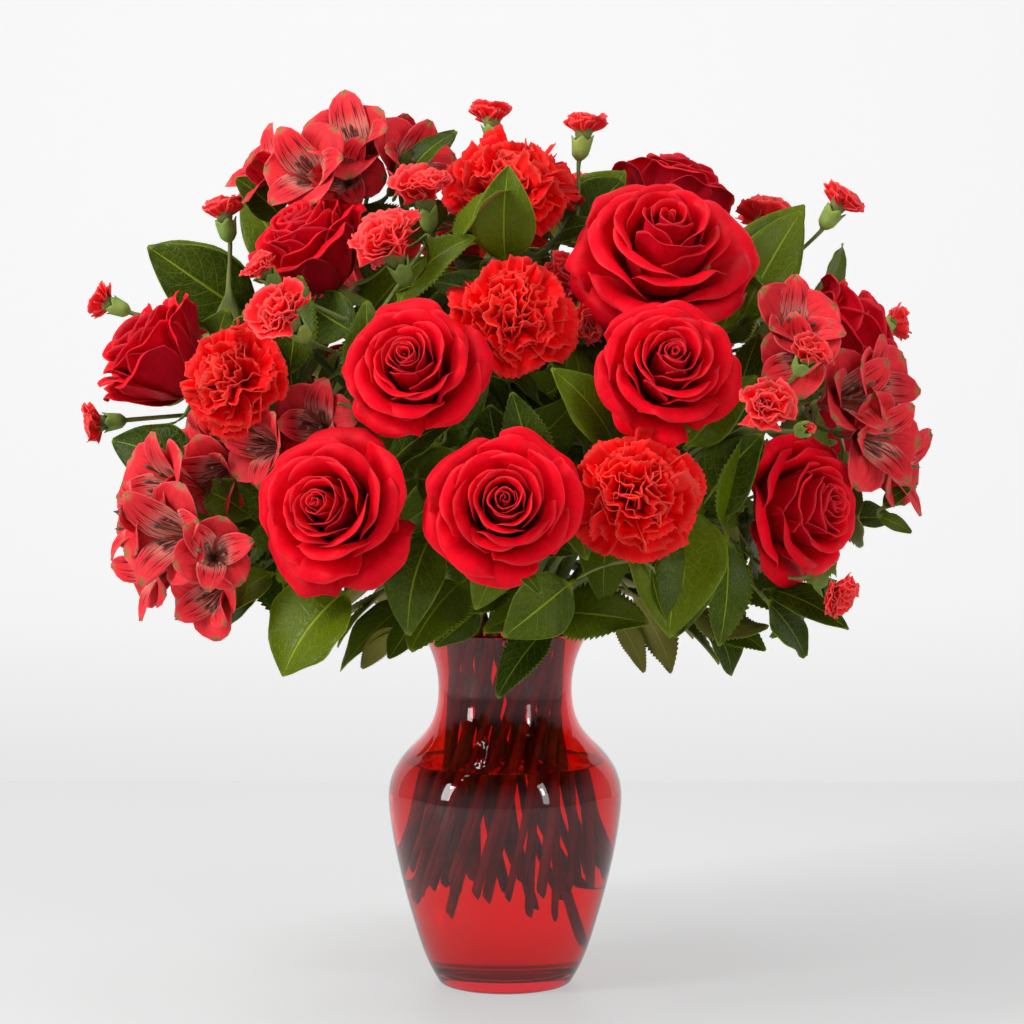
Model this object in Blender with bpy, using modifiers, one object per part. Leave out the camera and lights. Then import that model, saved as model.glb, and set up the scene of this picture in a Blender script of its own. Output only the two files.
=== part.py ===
"""A bouquet of red roses and red carnations in a red glass vase.

Metres, +Z up. The vase stands on the origin and the bouquet's front is towards -Y.
Every stem runs straight through the vase's neck, as in a spiral-tied bouquet, and then
bends out to its flower. Flowers are placed by hand; stems find their own way between them.
"""
import math

import bmesh
import bpy
import numpy as np
from mathutils import Vector

# Vase and water
VASE_OUTLINE = [  # radius and height of the outside, foot to rim
    (0.0370, 0.0000), (0.0415, 0.0076), (0.0505, 0.0310), (0.0600, 0.0660), (0.0653, 0.0960),
    (0.0652, 0.1140), (0.0580, 0.1288), (0.0430, 0.1455), (0.0378, 0.1650), (0.0412, 0.1870),
    (0.0475, 0.2000),
]
VASE_WALL = 0.0035
VASE_FLOOR = 0.0090
FLOOR_BEND = 0.0165
VASE_SEGMENTS = 28
OUTLINE_STEPS = 2
WATER_LEVEL = 0.126
WATER_SEGMENTS = 24

# Stems
GAP = 0.0003
NECK_HEIGHT = 0.165
EXIT_HEIGHT = 0.206
FOOT_HEIGHTS = (0.050, 0.060, 0.046, 0.068, 0.054, 0.024, 0.062, 0.048, 0.072, 0.056, 0.043, 0.065)
FOOT_SLANT = 0.9
NECK_RINGS = [  # radius of the ring in the neck, sideways slope of its stems
    (0.0300, 0.34), (0.0220, 0.28), (0.0140, 0.21),
]
NECK_LEAD = math.radians(45)
STEM_RADIUS = {
    "rose": 0.0029, "carnation": 0.0021, "spray_carnation": 0.0018,
    "alstroemeria": 0.0022, "lemon_leaf": 0.0018,
}
BRANCH_RADIUS = {"spray_carnation": 0.0012, "alstroemeria": 0.0013, "lemon_leaf": 0.0011}
ELBOW_ROOM = 0.0015
POINT_SPACING = 0.005
REVIEW_EVERY = 8
NEAR_REACH = 0.020
LONGEST_PUSH = 0.004
EASE = 0.30
STRAIGHTEN_TOLERANCE = 0.0006

# Swellings under a flower: distance back from its base, radius
ROSE_HIP = [(0.0130, 0.0029), (0.0080, 0.0060), (0.0, 0.0058)]
CARNATION_CALYX = [(0.0300, 0.0021), (0.0260, 0.0048), (0.0120, 0.0062), (0.0, 0.0070)]

LEAF_THICKNESS = 0.0012
SOLID_SHARE = 0.97

# Single flowers: place of the head's middle, facing, width, height over width
ROSES = [
    ((-0.047, -0.152, 0.349), (-0.15, -0.90, 0.38), 0.072, 0.72),
    ((0.084, -0.147, 0.351), (0.12, -0.90, 0.38), 0.074, 0.72),
    ((0.085, -0.082, 0.412), (0.10, -0.72, 0.70), 0.098, 0.52),
    ((-0.087, -0.168, 0.278), (-0.30, -0.92, 0.22), 0.082, 0.66),
    ((0.000, -0.184, 0.281), (0.00, -0.97, 0.22), 0.077, 0.68),
    ((-0.192, -0.030, 0.355), (-0.72, -0.20, 0.66), 0.068, 0.86),
    ((-0.106, -0.042, 0.415), (-0.45, -0.35, 0.82), 0.068, 0.86),
    ((0.158, -0.102, 0.276), (0.72, -0.68, 0.10), 0.075, 0.72),
    ((0.095, 0.030, 0.448), (0.25, 0.30, 0.92), 0.068, 0.80),
    ((0.192, 0.000, 0.366), (0.85, 0.05, 0.50), 0.073, 0.80),
    ((0.192, 0.060, 0.305), (0.85, 0.50, 0.05), 0.070, 0.74),
    ((-0.100, 0.135, 0.325), (-0.50, 0.82, 0.25), 0.078, 0.70),
    ((0.072, 0.165, 0.318), (0.30, 0.92, 0.25), 0.080, 0.68),
]
CARNATIONS = [
    ((0.003, -0.108, 0.373), (0.00, -0.78, 0.62), 0.070, 0.62),
    ((0.003, -0.022, 0.444), (0.00, -0.55, 0.83), 0.076, 0.62),
    ((0.067, -0.158, 0.284), (0.28, -0.92, 0.20), 0.068, 0.66),
    ((-0.140, -0.108, 0.341), (-0.60, -0.72, 0.34), 0.064, 0.66),
    ((-0.012, 0.095, 0.420), (-0.05, 0.66, 0.75), 0.074, 0.62),
    ((-0.014, 0.172, 0.268), (-0.10, 0.96, 0.16), 0.072, 0.64),
    ((-0.172, 0.070, 0.285), (-0.88, 0.44, 0.18), 0.070, 0.64),
]

# Branching flowers: top of the main stem, then each head's middle, facing and width
SPRAY_CARNATIONS = [
    ((-0.072, -0.075, 0.372), [
        ((-0.110, -0.131, 0.372), (-0.45, -0.75, 0.50), 0.037),
        ((-0.058, -0.090, 0.407), (-0.35, -0.50, 0.80), 0.040),
        ((-0.043, -0.052, 0.437), (-0.15, -0.45, 0.88), 0.035),
        ((-0.126, -0.082, 0.398), (-0.60, -0.40, 0.70), 0.021),
    ]),
    ((0.028, -0.020, 0.420), [
        ((0.031, -0.053, 0.391), (0.10, -0.90, 0.42), 0.034),
        ((0.043, -0.084, 0.370), (0.15, -0.95, 0.20), 0.022),
        ((-0.007, 0.012, 0.483), (-0.12, 0.05, 0.99), 0.026),
        ((0.043, -0.012, 0.475), (0.15, -0.05, 0.98), 0.025),
    ]),
    ((0.122, -0.110, 0.318), [
        ((0.130, -0.166, 0.328), (0.10, -0.95, 0.30), 0.030),
        ((0.153, -0.150, 0.353), (0.35, -0.65, 0.66), 0.023),
        ((0.152, -0.158, 0.318), (0.45, -0.88, 0.15), 0.016),
        ((0.169, -0.123, 0.234), (0.60, -0.68, -0.40), 0.024),
    ]),
    ((0.150, 0.020, 0.398), [
        ((0.185, 0.004, 0.436), (0.55, -0.10, 0.83), 0.025),
        ((0.150, 0.052, 0.424), (0.15, 0.40, 0.90), 0.036),
        ((0.221, 0.048, 0.372), (0.90, 0.38, 0.25), 0.022),
    ]),
    ((-0.158, 0.012, 0.372), [
        ((-0.221, 0.010, 0.383), (-0.92, 0.10, 0.38), 0.022),
        ((-0.221, -0.020, 0.318), (-0.95, -0.20, -0.10), 0.023),
        ((-0.157, 0.005, 0.430), (-0.20, -0.05, 0.97), 0.024),
        ((-0.170, 0.062, 0.360), (-0.72, 0.65, 0.25), 0.034),
    ]),
    ((0.050, 0.105, 0.385), [
        ((0.082, 0.132, 0.394), (0.30, 0.80, 0.52), 0.040),
        ((0.030, 0.150, 0.380), (0.05, 0.96, 0.28), 0.036),
        ((0.048, 0.100, 0.442), (0.05, 0.40, 0.92), 0.034),
        ((0.124, 0.118, 0.368), (0.65, 0.70, 0.30), 0.026),
    ]),
]
ALSTROEMERIAS = [
    ((-0.086, 0.010, 0.415), [
        ((-0.082, 0.000, 0.466), (-0.25, -0.75, 0.60), 0.048),
        ((-0.126, 0.010, 0.453), (-0.75, -0.35, 0.56), 0.040),
        ((-0.060, 0.036, 0.466), (0.15, 0.55, 0.82), 0.036),
    ]),
    ((-0.135, -0.080, 0.268), [
        ((-0.170, -0.100, 0.285), (-0.78, -0.60, 0.18), 0.044),
        ((-0.178, -0.094, 0.244), (-0.86, -0.45, -0.25), 0.042),
        ((-0.146, -0.126, 0.235), (-0.50, -0.80, -0.30), 0.040),
    ]),
    ((-0.100, -0.070, 0.312), [
        ((-0.096, -0.105, 0.318), (-0.35, -0.92, 0.15), 0.038),
        ((-0.150, -0.066, 0.303), (-0.86, -0.45, 0.05), 0.040),
    ]),
    ((0.150, -0.070, 0.330), [
        ((0.150, -0.100, 0.365), (0.25, -0.80, 0.55), 0.042),
        ((0.187, -0.078, 0.338), (0.80, -0.58, 0.15), 0.046),
        ((0.203, -0.040, 0.297), (0.90, -0.40, -0.12), 0.046),
    ]),
    ((-0.060, 0.085, 0.375), [
        ((-0.072, 0.105, 0.404), (-0.35, 0.70, 0.62), 0.046),
        ((-0.108, 0.088, 0.385), (-0.72, 0.55, 0.42), 0.044),
        ((-0.044, 0.135, 0.376), (-0.15, 0.95, 0.28), 0.042),
    ]),
]

# Foliage: top of the branch, then each leaf's base, tip, width and the way its face looks
LEMON_LEAVES = [
    ((-0.100, -0.100, 0.262), [
        ((-0.079, -0.140, 0.236), (-0.114, -0.152, 0.192), 0.044, (-0.5, -0.8, 0.4)),
        ((-0.128, -0.096, 0.243), (-0.150, -0.098, 0.206), 0.030, (-0.7, -0.6, 0.4)),
    ]),
    ((-0.130, 0.030, 0.378), [
        ((-0.140, 0.034, 0.382), (-0.203, 0.036, 0.418), 0.036, (-0.4, -0.7, 0.6)),
        ((-0.118, 0.046, 0.398), (-0.152, 0.050, 0.448), 0.034, (-0.4, -0.6, 0.7)),
        ((-0.120, 0.062, 0.362), (-0.172, 0.096, 0.376), 0.036, (-0.3, 0.4, 0.9)),
    ]),
    ((0.012, 0.030, 0.420), [
        ((0.001, -0.066, 0.402), (0.002, -0.078, 0.456), 0.034, (0.0, -0.9, 0.2)),
        ((0.044, 0.030, 0.430), (0.068, 0.012, 0.458), 0.032, (0.3, -0.7, 0.6)),
        ((-0.058, 0.030, 0.436), (-0.028, 0.006, 0.481), 0.030, (-0.2, -0.8, 0.5)),
        ((0.030, 0.060, 0.418), (0.050, 0.074, 0.454), 0.032, (0.2, 0.7, 0.6)),
    ]),
    ((0.135, 0.048, 0.378), [
        ((0.130, -0.012, 0.372), (0.166, -0.004, 0.436), 0.036, (0.3, -0.8, 0.5)),
        ((0.176, 0.050, 0.388), (0.196, 0.062, 0.420), 0.028, (0.6, 0.2, 0.7)),
        ((0.128, 0.086, 0.362), (0.160, 0.108, 0.402), 0.034, (0.5, 0.6, 0.6)),
    ]),
    ((0.108, -0.088, 0.262), [
        ((0.096, -0.130, 0.262), (0.088, -0.150, 0.212), 0.034, (0.2, -0.9, 0.3)),
        ((0.136, -0.106, 0.228), (0.160, -0.100, 0.196), 0.032, (0.6, -0.6, 0.5)),
        ((0.105, -0.060, 0.220), (0.124, -0.064, 0.182), 0.030, (0.5, -0.6, 0.6)),
    ]),
    ((-0.095, 0.110, 0.262), [
        ((-0.080, 0.146, 0.250), (-0.098, 0.176, 0.208), 0.042, (-0.3, 0.8, 0.5)),
        ((-0.128, 0.104, 0.250), (-0.166, 0.124, 0.216), 0.038, (-0.7, 0.5, 0.5)),
        ((-0.040, 0.128, 0.312), (-0.046, 0.182, 0.330), 0.036, (-0.2, -0.3, 0.9)),
    ]),
    ((0.125, 0.100, 0.262), [
        ((0.100, 0.140, 0.252), (0.122, 0.166, 0.206), 0.042, (0.4, 0.8, 0.4)),
        ((0.150, 0.060, 0.248), (0.196, 0.076, 0.226), 0.038, (0.6, 0.3, 0.7)),
        ((0.152, 0.092, 0.272), (0.172, 0.132, 0.296), 0.036, (0.3, 0.6, 0.7)),
        ((0.180, 0.020, 0.258), (0.222, 0.006, 0.262), 0.030, (0.3, -0.5, 0.8)),
    ]),
]

COLOURS = {  # base colour, roughness
    "glass": ((0.55, 0.01, 0.02), 0.05),
    "water": ((0.60, 0.05, 0.06), 0.03),
    "rose": ((0.42, 0.004, 0.012), 0.55),
    "carnation": ((0.62, 0.012, 0.022), 0.60),
    "spray_carnation": ((0.60, 0.020, 0.030), 0.60),
    "alstroemeria": ((0.66, 0.070, 0.110), 0.50),
    "stem": ((0.080, 0.170, 0.040), 0.55),
    "lemon_leaf": ((0.045, 0.150, 0.035), 0.40),
}


def clear_scene():
    for thing in list(bpy.data.objects):
        bpy.data.objects.remove(thing, do_unlink=True)


def new_collection(name):
    collection = bpy.data.collections.new(name)
    bpy.context.scene.collection.children.link(collection)
    return collection


def material(name, kind):
    colour, roughness = COLOURS[kind]
    made = bpy.data.materials.new(name)
    made.use_nodes = True
    shader = made.node_tree.nodes["Principled BSDF"]
    shader.inputs["Base Color"].default_value = (*colour, 1.0)
    shader.inputs["Roughness"].default_value = roughness
    shader.inputs["Metallic"].default_value = 0.0
    if kind in ("glass", "water"):
        shader.inputs["Transmission Weight"].default_value = 0.9
    return made


def finish(thing, name, kind, collection, smooth_angle=math.radians(40)):
    thing.name = name
    thing.data.name = name
    thing.data.materials.clear()
    thing.data.materials.append(material(name, kind))
    thing.data.shade_smooth()
    thing.data.set_sharp_from_angle(angle=smooth_angle)
    for old in list(thing.users_collection):
        old.objects.unlink(thing)
    collection.objects.link(thing)
    return thing


def unit(vector):
    vector = np.asarray(vector, dtype=float)
    return vector / np.linalg.norm(vector)


def mesh_object(name, bm, collection):
    mesh = bpy.data.meshes.new(name)
    bm.to_mesh(mesh)
    bm.free()
    thing = bpy.data.objects.new(name, mesh)
    collection.objects.link(thing)
    return thing


def evaluated_mesh(thing, weld=True):
    """The object's mesh with its modifiers or bevel applied, caps welded."""
    graph = bpy.context.evaluated_depsgraph_get()
    mesh = bpy.data.meshes.new_from_object(thing.evaluated_get(graph))
    if weld:
        bm = bmesh.new()
        bm.from_mesh(mesh)
        bmesh.ops.remove_doubles(bm, verts=bm.verts, dist=0.00001)
        bm.to_mesh(mesh)
        bm.free()
    return mesh


def as_mesh(thing, collection):
    """Replaces a curve, or an object with modifiers, by the plain mesh it makes."""
    mesh = evaluated_mesh(thing)
    solid = bpy.data.objects.new(thing.name, mesh)
    solid.matrix_world = thing.matrix_world
    collection.objects.link(solid)
    bpy.data.objects.remove(thing, do_unlink=True)
    return solid


def boolean(body, others, operation, guides):
    """Cuts or joins the others into the body and removes them."""
    operands = bpy.data.collections.new("operands")
    bpy.context.scene.collection.children.link(operands)
    for other in others:
        operands.objects.link(other)
        other.hide_render = True
        other.display_type = "WIRE"
    modifier = body.modifiers.new(operation.lower(), "BOOLEAN")
    modifier.operation = operation
    modifier.solver = "EXACT"
    modifier.operand_type = "COLLECTION"
    modifier.collection = operands
    bpy.context.view_layer.update()
    result = as_mesh(body, guides)
    for other in list(operands.objects):
        bpy.data.objects.remove(other, do_unlink=True)
    bpy.data.collections.remove(operands)
    return result


# Curves and tubes

def smooth_outline(points, steps):
    """Catmull-Rom curve through the points, with steps intervals in each span."""
    points = np.asarray(points, dtype=float)
    padded = np.vstack([2 * points[0] - points[1], points, 2 * points[-1] - points[-2]])
    curve = [points[0]]
    for i in range(1, len(padded) - 2):
        before, start, end, after = padded[i - 1:i + 3]
        for step in range(1, steps + 1):
            t = step / steps
            curve.append(0.5 * (2 * start + (end - before) * t
                                + (2 * before - 5 * start + 4 * end - after) * t ** 2
                                + (3 * start - 3 * end + after - before) * t ** 3))
    return np.array(curve)


def bezier(start, start_pull, end_pull, end):
    """Cubic curve as points about POINT_SPACING apart."""
    length = np.linalg.norm(end - start) * 1.15
    count = max(6, int(length / POINT_SPACING) + 1)
    t = np.linspace(0.0, 1.0, count)[:, None]
    return ((1 - t) ** 3 * start + 3 * t * (1 - t) ** 2 * start_pull
            + 3 * t ** 2 * (1 - t) * end_pull + t ** 3 * end)


def thinned(points, tolerance):
    """Drops points that lie within the tolerance of the line between their neighbours."""
    keep = [0, len(points) - 1]
    spans = [(0, len(points) - 1)]
    while spans:
        first, last = spans.pop()
        if last - first < 2:
            continue
        line = unit(points[last] - points[first])
        offsets = points[first + 1:last] - points[first]
        off_line = np.linalg.norm(offsets - np.outer(offsets @ line, line), axis=1)
        worst = int(np.argmax(off_line))
        if off_line[worst] > tolerance:
            middle = first + 1 + worst
            keep.append(middle)
            spans += [(first, middle), (middle, last)]
    return points[sorted(keep)]


def tube(name, points, radii, guides, resolution=1):
    """A solid tube along the points, with a radius for each."""
    curve = bpy.data.curves.new(name, "CURVE")
    curve.dimensions = "3D"
    curve.bevel_depth = max(radii)
    curve.bevel_resolution = resolution
    curve.use_fill_caps = True
    spline = curve.splines.new("POLY")
    spline.points.add(len(points) - 1)
    for place, point, radius in zip(spline.points, points, radii):
        place.co = (*point, 1.0)
        place.radius = radius / max(radii)
    thing = bpy.data.objects.new(name, curve)
    guides.objects.link(thing)
    return as_mesh(thing, guides)


def slant_foot(stem, foot, direction, reach):
    """Leans the cut at the stem's foot, as a knife leaves it."""
    side = unit(np.cross(direction, (0.0, 1.0, 0.2)))
    for vertex in stem.data.vertices:
        offset = np.array(vertex.co) - foot
        if abs(offset @ direction) < reach:
            vertex.co = Vector(np.array(vertex.co) + direction * FOOT_SLANT * (offset @ side))


# Vase and water

def outer_radius(height):
    radii, heights = np.transpose(VASE_OUTLINE)
    return np.interp(height, heights, radii)


def inner_outline():
    """Radius and height of the inside, from the floor's edge to the rim."""
    return [(outer_radius(VASE_FLOOR) - VASE_WALL - 0.006, VASE_FLOOR),
            (outer_radius(FLOOR_BEND) - VASE_WALL, FLOOR_BEND),
            *((radius - VASE_WALL, height) for radius, height in VASE_OUTLINE if height > FLOOR_BEND)]


def inner_radius(height):
    radii, heights = np.transpose(inner_outline())
    return np.interp(height, heights, radii)


def turned(name, profile, segments, guides):
    """A profile that runs down its outer side, spun about the Z axis."""
    bm = bmesh.new()
    corners = [bm.verts.new((radius, 0.0, height)) for radius, height in profile]
    for first, second in zip(corners, corners[1:]):
        bm.edges.new((first, second))
    thing = mesh_object(name, bm, guides)
    screw = thing.modifiers.new("screw", "SCREW")
    screw.steps = segments
    screw.render_steps = segments
    screw.use_merge_vertices = True
    screw.merge_threshold = 0.00001
    screw.use_smooth_shade = True
    return as_mesh(thing, guides)


def make_vase(parts, guides):
    outside = smooth_outline(VASE_OUTLINE, OUTLINE_STEPS)[::-1]
    rim_radius, rim_height = VASE_OUTLINE[-1]
    lip = (rim_radius - VASE_WALL / 2, rim_height + 0.0012)
    profile = [(0.0, VASE_FLOOR), *inner_outline(), lip, *outside, (0.0, 0.0)]
    vase = turned("vase", profile, VASE_SEGMENTS, guides)
    return finish(vase, "vase", "glass", parts)


def make_water(stems, parts, guides):
    """Fills the vase to its level, with room for every stem."""
    gap = 3 * GAP
    side = [(radius - gap, height + gap) for radius, height in inner_outline() if height < WATER_LEVEL - gap]
    profile = [(0.0, WATER_LEVEL), (inner_radius(WATER_LEVEL) - gap, WATER_LEVEL), *side[::-1],
               (0.0, VASE_FLOOR + gap)]
    water = turned("water", profile, WATER_SEGMENTS, guides)
    cutters = []
    for stem in stems:
        direction = unit(stem["exit"] - stem["foot"])
        low = stem["foot"] - direction * 0.001
        radius = stem["radius"] + 2 * GAP
        cutter = tube("stem_cutter", [low, stem["exit"]], [radius, radius], guides)
        slant_foot(cutter, low, direction, 0.002)
        cutters.append(cutter)
    water = boolean(water, cutters, "DIFFERENCE", guides)
    return finish(water, "water", "water", parts)


# Heads

def shaped_head(name, across, up, place, facing, outline, guides, waviness=0.0, lobes=5):
    """A closed head: a sphere whose rings follow the outline, turned to its facing.

    The outline gives radius and height for each ring from the base up, poles left out.
    """
    bm = bmesh.new()
    bmesh.ops.create_uvsphere(bm, u_segments=across, v_segments=len(outline) + 1, radius=1.0)
    for vertex in bm.verts:
        polar = math.acos(max(-1.0, min(1.0, -vertex.co.z)))
        ring = round(polar / math.pi * (len(outline) + 1))
        turn = math.atan2(vertex.co.y, vertex.co.x)
        if ring == 0:
            radius, height = 0.0, 0.0
        elif ring == len(outline) + 1:
            radius, height = 0.0, up
        else:
            radius, height = outline[ring - 1]
            radius *= 1.0 + waviness * math.cos(lobes * turn)
        vertex.co = (radius * math.cos(turn), radius * math.sin(turn), height)
    head = mesh_object(name, bm, guides)
    head.rotation_mode = "QUATERNION"
    head.rotation_quaternion = Vector(facing).to_track_quat("Z", "Y")
    head.location = Vector(place)
    return head


def head_base(head):
    return head["middle"] - head["facing"] * head["height"] / 2


def rose_outline(width, height):
    """A cup that swells above its hip and closes over its heart."""
    radius = width / 2
    return [(radius * share, height * level) for share, level in (
        (0.38, 0.05), (0.74, 0.22), (0.93, 0.45), (1.00, 0.70), (0.86, 0.90), (0.46, 0.98))]


def carnation_outline(width, height):
    """A ruffled half ball whose lowest petals fold back over the calyx."""
    radius = width / 2
    return [(radius * share, height * level) for share, level in (
        (0.24, 0.06), (0.70, 0.14), (0.97, 0.34), (0.98, 0.62), (0.72, 0.88), (0.36, 0.98))]


def spray_outline(width, height):
    """Calyx cup below and a small ruffled head above, as one piece."""
    radius = width / 2
    return [(radius * share, height * level) for share, level in (
        (0.36, 0.05), (0.42, 0.42), (0.93, 0.66), (0.74, 0.94))]


def floret_outline(width, height):
    """A trumpet: slim tube, open mouth and shallow throat."""
    radius = width / 2
    return [(radius * share, height * level) for share, level in (
        (0.13, 0.04), (0.34, 0.42), (0.66, 0.76), (0.97, 0.97), (0.50, 0.90))]


# Layout: where every head is, and how every stem gets there

def gather_heads():
    """One list of heads; each knows its plant, so that its own stem may touch it."""
    heads = []

    def add(plant, kind, middle, facing, width, height):
        heads.append({"plant": plant, "kind": kind, "middle": np.array(middle), "facing": unit(facing),
                      "width": width * SOLID_SHARE, "height": height * SOLID_SHARE})

    for number, (middle, facing, width, ratio) in enumerate(ROSES, 1):
        add(f"rose_{number:02d}", "rose", middle, facing, width, width * ratio)
    for number, (middle, facing, width, ratio) in enumerate(CARNATIONS, 1):
        add(f"carnation_{number:02d}", "carnation", middle, facing, width, width * ratio)
    for kind, plants, slimness in (("spray_carnation", SPRAY_CARNATIONS, 1.05),
                                   ("alstroemeria", ALSTROEMERIAS, 0.95)):
        for number, (_, branches) in enumerate(plants, 1):
            for middle, facing, width in branches:
                add(f"{kind}_{number:02d}", kind, middle, facing, width, width * slimness)
    return heads


def plant_tops(heads):
    """The point and direction at which each plant's main stem ends."""
    tops = []
    for head in heads:
        if head["kind"] in ("rose", "carnation"):
            swelling = ROSE_HIP if head["kind"] == "rose" else CARNATION_CALYX
            base = head_base(head) - head["facing"] * GAP
            tops.append({"plant": head["plant"], "kind": head["kind"], "facing": head["facing"],
                         "top": base - head["facing"] * swelling[0][0], "head_base": base,
                         "swelling": swelling})
    for kind, plants in (("spray_carnation", SPRAY_CARNATIONS), ("alstroemeria", ALSTROEMERIAS),
                         ("lemon_leaf", LEMON_LEAVES)):
        for number, (top, _) in enumerate(plants, 1):
            outward = unit((top[0], top[1], 0.6 * (top[2] - 0.15)))
            tops.append({"plant": f"{kind}_{number:02d}", "kind": kind, "facing": outward,
                         "top": np.array(top), "head_base": None, "swelling": None})
    return tops


def neck_line(ring, turn, height):
    """The place at a height on the straight line that a stem takes through the neck."""
    radius, slope = NECK_RINGS[ring]
    along = slope * (height - NECK_HEIGHT)
    return np.array([radius * math.cos(turn) - along * math.sin(turn),
                     radius * math.sin(turn) + along * math.cos(turn), height])


def give_slots(tops):
    """Shares the neck out: the lowest flowers take the outer ring, each ring in order of bearing."""
    lean = [math.atan2(math.hypot(top["top"][0], top["top"][1]), top["top"][2] - EXIT_HEIGHT)
            for top in tops]
    order = list(np.argsort(lean)[::-1])
    room = np.array([radius for radius, _ in NECK_RINGS])
    counts = np.round(len(tops) * room / room.sum()).astype(int)
    counts[0] = len(tops) - counts[1:].sum()
    first = 0
    for ring, count in enumerate(counts):
        members = order[first:first + count]
        first += count
        bearings = {i: math.atan2(tops[i]["top"][1], tops[i]["top"][0]) % math.tau for i in members}
        members = sorted(members, key=bearings.get)
        wanted = np.array([bearings[i] for i in members])
        even = np.arange(count) * math.tau / count
        start = np.angle(np.exp(1j * (wanted - even)).sum()) - NECK_LEAD
        for slot, i in enumerate(members):
            tops[i]["ring"] = ring
            tops[i]["turn"] = start + even[slot]


def stem_foot(ring, turn, radius, height):
    """The first point up the neck line, from the height given, at which the stem clears the glass."""
    while True:
        foot = neck_line(ring, turn, height)
        if math.hypot(foot[0], foot[1]) < inner_radius(height - radius) - 1.6 * radius - 0.002:
            return foot
        height += 0.001


def main_stems(tops):
    stems = []
    for number, top in enumerate(tops):
        radius = STEM_RADIUS[top["kind"]]
        height = FOOT_HEIGHTS[number % len(FOOT_HEIGHTS)]
        foot = stem_foot(top["ring"], top["turn"], radius, height)
        way_out = neck_line(top["ring"], top["turn"], EXIT_HEIGHT)
        rising = unit(way_out - foot)
        reach = np.linalg.norm(top["top"] - way_out)
        path = bezier(way_out, way_out + rising * reach * 0.42,
                      top["top"] - top["facing"] * reach * 0.38, top["top"])
        stems.append({**top, "radius": radius, "foot": foot, "exit": way_out, "path": path})
    return stems


def leaf_grid(leaf, along_steps, across_steps, heads):
    """Points of a leaf's blade, arched, folded on its midrib and kept clear of the flowers."""
    base, tip, width, face = leaf
    base, tip = np.array(base), np.array(tip)
    along = tip - base
    length = np.linalg.norm(along)
    side = unit(np.cross(along, face))
    normal = unit(np.cross(side, along))
    if normal @ np.array(face) < 0:
        side, normal = -side, -normal
    rows = []
    for i in range(along_steps + 1):
        t = i / along_steps
        half = width / 2 * max(0.05, math.sin(math.pi * t ** 0.85) ** 0.8)
        arch = 0.10 * length * 4 * t * (1 - t)
        row = []
        for j in range(across_steps + 1):
            across = 2 * j / across_steps - 1
            row.append(base + along * t + side * half * across + normal * (arch + 0.22 * half * abs(across)))
        rows.append(row)
    points = np.array(rows)
    for head in heads:
        offsets = points - head["middle"]
        distances = np.linalg.norm(offsets, axis=2)
        allowed = head["width"] / 2 + 2 * LEAF_THICKNESS
        inside = distances < allowed
        points[inside] = head["middle"] + offsets[inside] / distances[inside][:, None] * allowed
    return points


def settle(strands, obstacles, rounds=140):
    """Pushes strands off one another and off the obstacles, and evens them out, end points kept."""
    points = np.vstack([strand["path"] for strand in strands])
    index = np.concatenate([np.full(len(strand["path"]), i) for i, strand in enumerate(strands)])
    owners = [strands[i]["plant"] for i in index] + [owner for _, _, owner in obstacles]
    names = {owner: number for number, owner in enumerate(sorted(set(owners)))}
    owners = np.array([names[owner] for owner in owners])
    radii = np.array([strands[i]["radius"] for i in index] + [radius for _, radius, _ in obstacles])
    fixed = np.array([place for place, _, _ in obstacles])
    free = np.concatenate([[False] * 2 + [True] * (len(strand["path"]) - 4) + [False] * 2
                           for strand in strands])
    for step in range(rounds):
        everything = np.vstack([points, fixed])
        if step % REVIEW_EVERY == 0:
            squares = (everything ** 2).sum(axis=1)
            apart = squares[:len(points), None] + squares[None] - 2 * points @ everything.T
            near = (radii[:len(points), None] + radii[None] + NEAR_REACH) ** 2
            mine, other = np.nonzero((apart < near) & (owners[:len(points), None] != owners[None]))
            wanted = radii[mine] + radii[other] + ELBOW_ROOM
        offsets = points[mine] - everything[other]
        distances = np.linalg.norm(offsets, axis=1) + 1e-9
        weight = np.clip(wanted - distances, 0.0, None) / distances * 0.5
        push = np.zeros_like(points)
        np.add.at(push, mine, offsets * weight[:, None])
        size = np.linalg.norm(push, axis=1, keepdims=True) + 1e-9
        push *= np.minimum(1.0, LONGEST_PUSH / size)
        bend = np.zeros_like(points)
        bend[1:-1] = (points[:-2] + points[2:]) / 2 - points[1:-1]
        ease = EASE if step < rounds - 20 else EASE / 4
        points[free] += push[free] + ease * bend[free]
    for i, strand in enumerate(strands):
        strand["path"] = points[index == i]


def branches_of(stem, targets):
    """A branch from the main stem to each target, leaving it where that is natural."""
    line = stem["path"]
    strands = []
    for base, facing in targets:
        usable = line[len(line) // 2:]
        below = np.linalg.norm(usable - base, axis=1) + 1.2 * np.abs(usable[:, 2] - base[2] + 0.03)
        at = len(line) // 2 + int(np.argmin(below))
        at = min(at, len(line) - 2)
        leaving = unit(line[at + 1] - line[at])
        reach = np.linalg.norm(base - line[at])
        path = bezier(line[at], line[at] + leaving * reach * 0.35, base - facing * reach * 0.35, base)
        strands.append({"plant": stem["plant"], "radius": BRANCH_RADIUS[stem["kind"]], "path": path})
    return strands


# Building

def make_stem(stem, name, guides):
    """The stem's tube from its slanted foot up, with the swelling under its flower."""
    path = thinned(stem["path"], STRAIGHTEN_TOLERANCE)
    points = [stem["foot"], *path]
    radii = [stem["radius"]] * len(points)
    if stem["swelling"]:
        points.pop()
        radii.pop()
        for back, radius in stem["swelling"]:
            points.append(stem["head_base"] - stem["facing"] * back)
            radii.append(radius)
    solid = tube(name, points, radii, guides)
    slant_foot(solid, stem["foot"], unit(stem["exit"] - stem["foot"]), 0.001)
    return solid


def make_branch(strand, guides):
    points = thinned(strand["path"], STRAIGHTEN_TOLERANCE)
    return tube("branch", points, [strand["radius"]] * len(points), guides, resolution=0)


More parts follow.
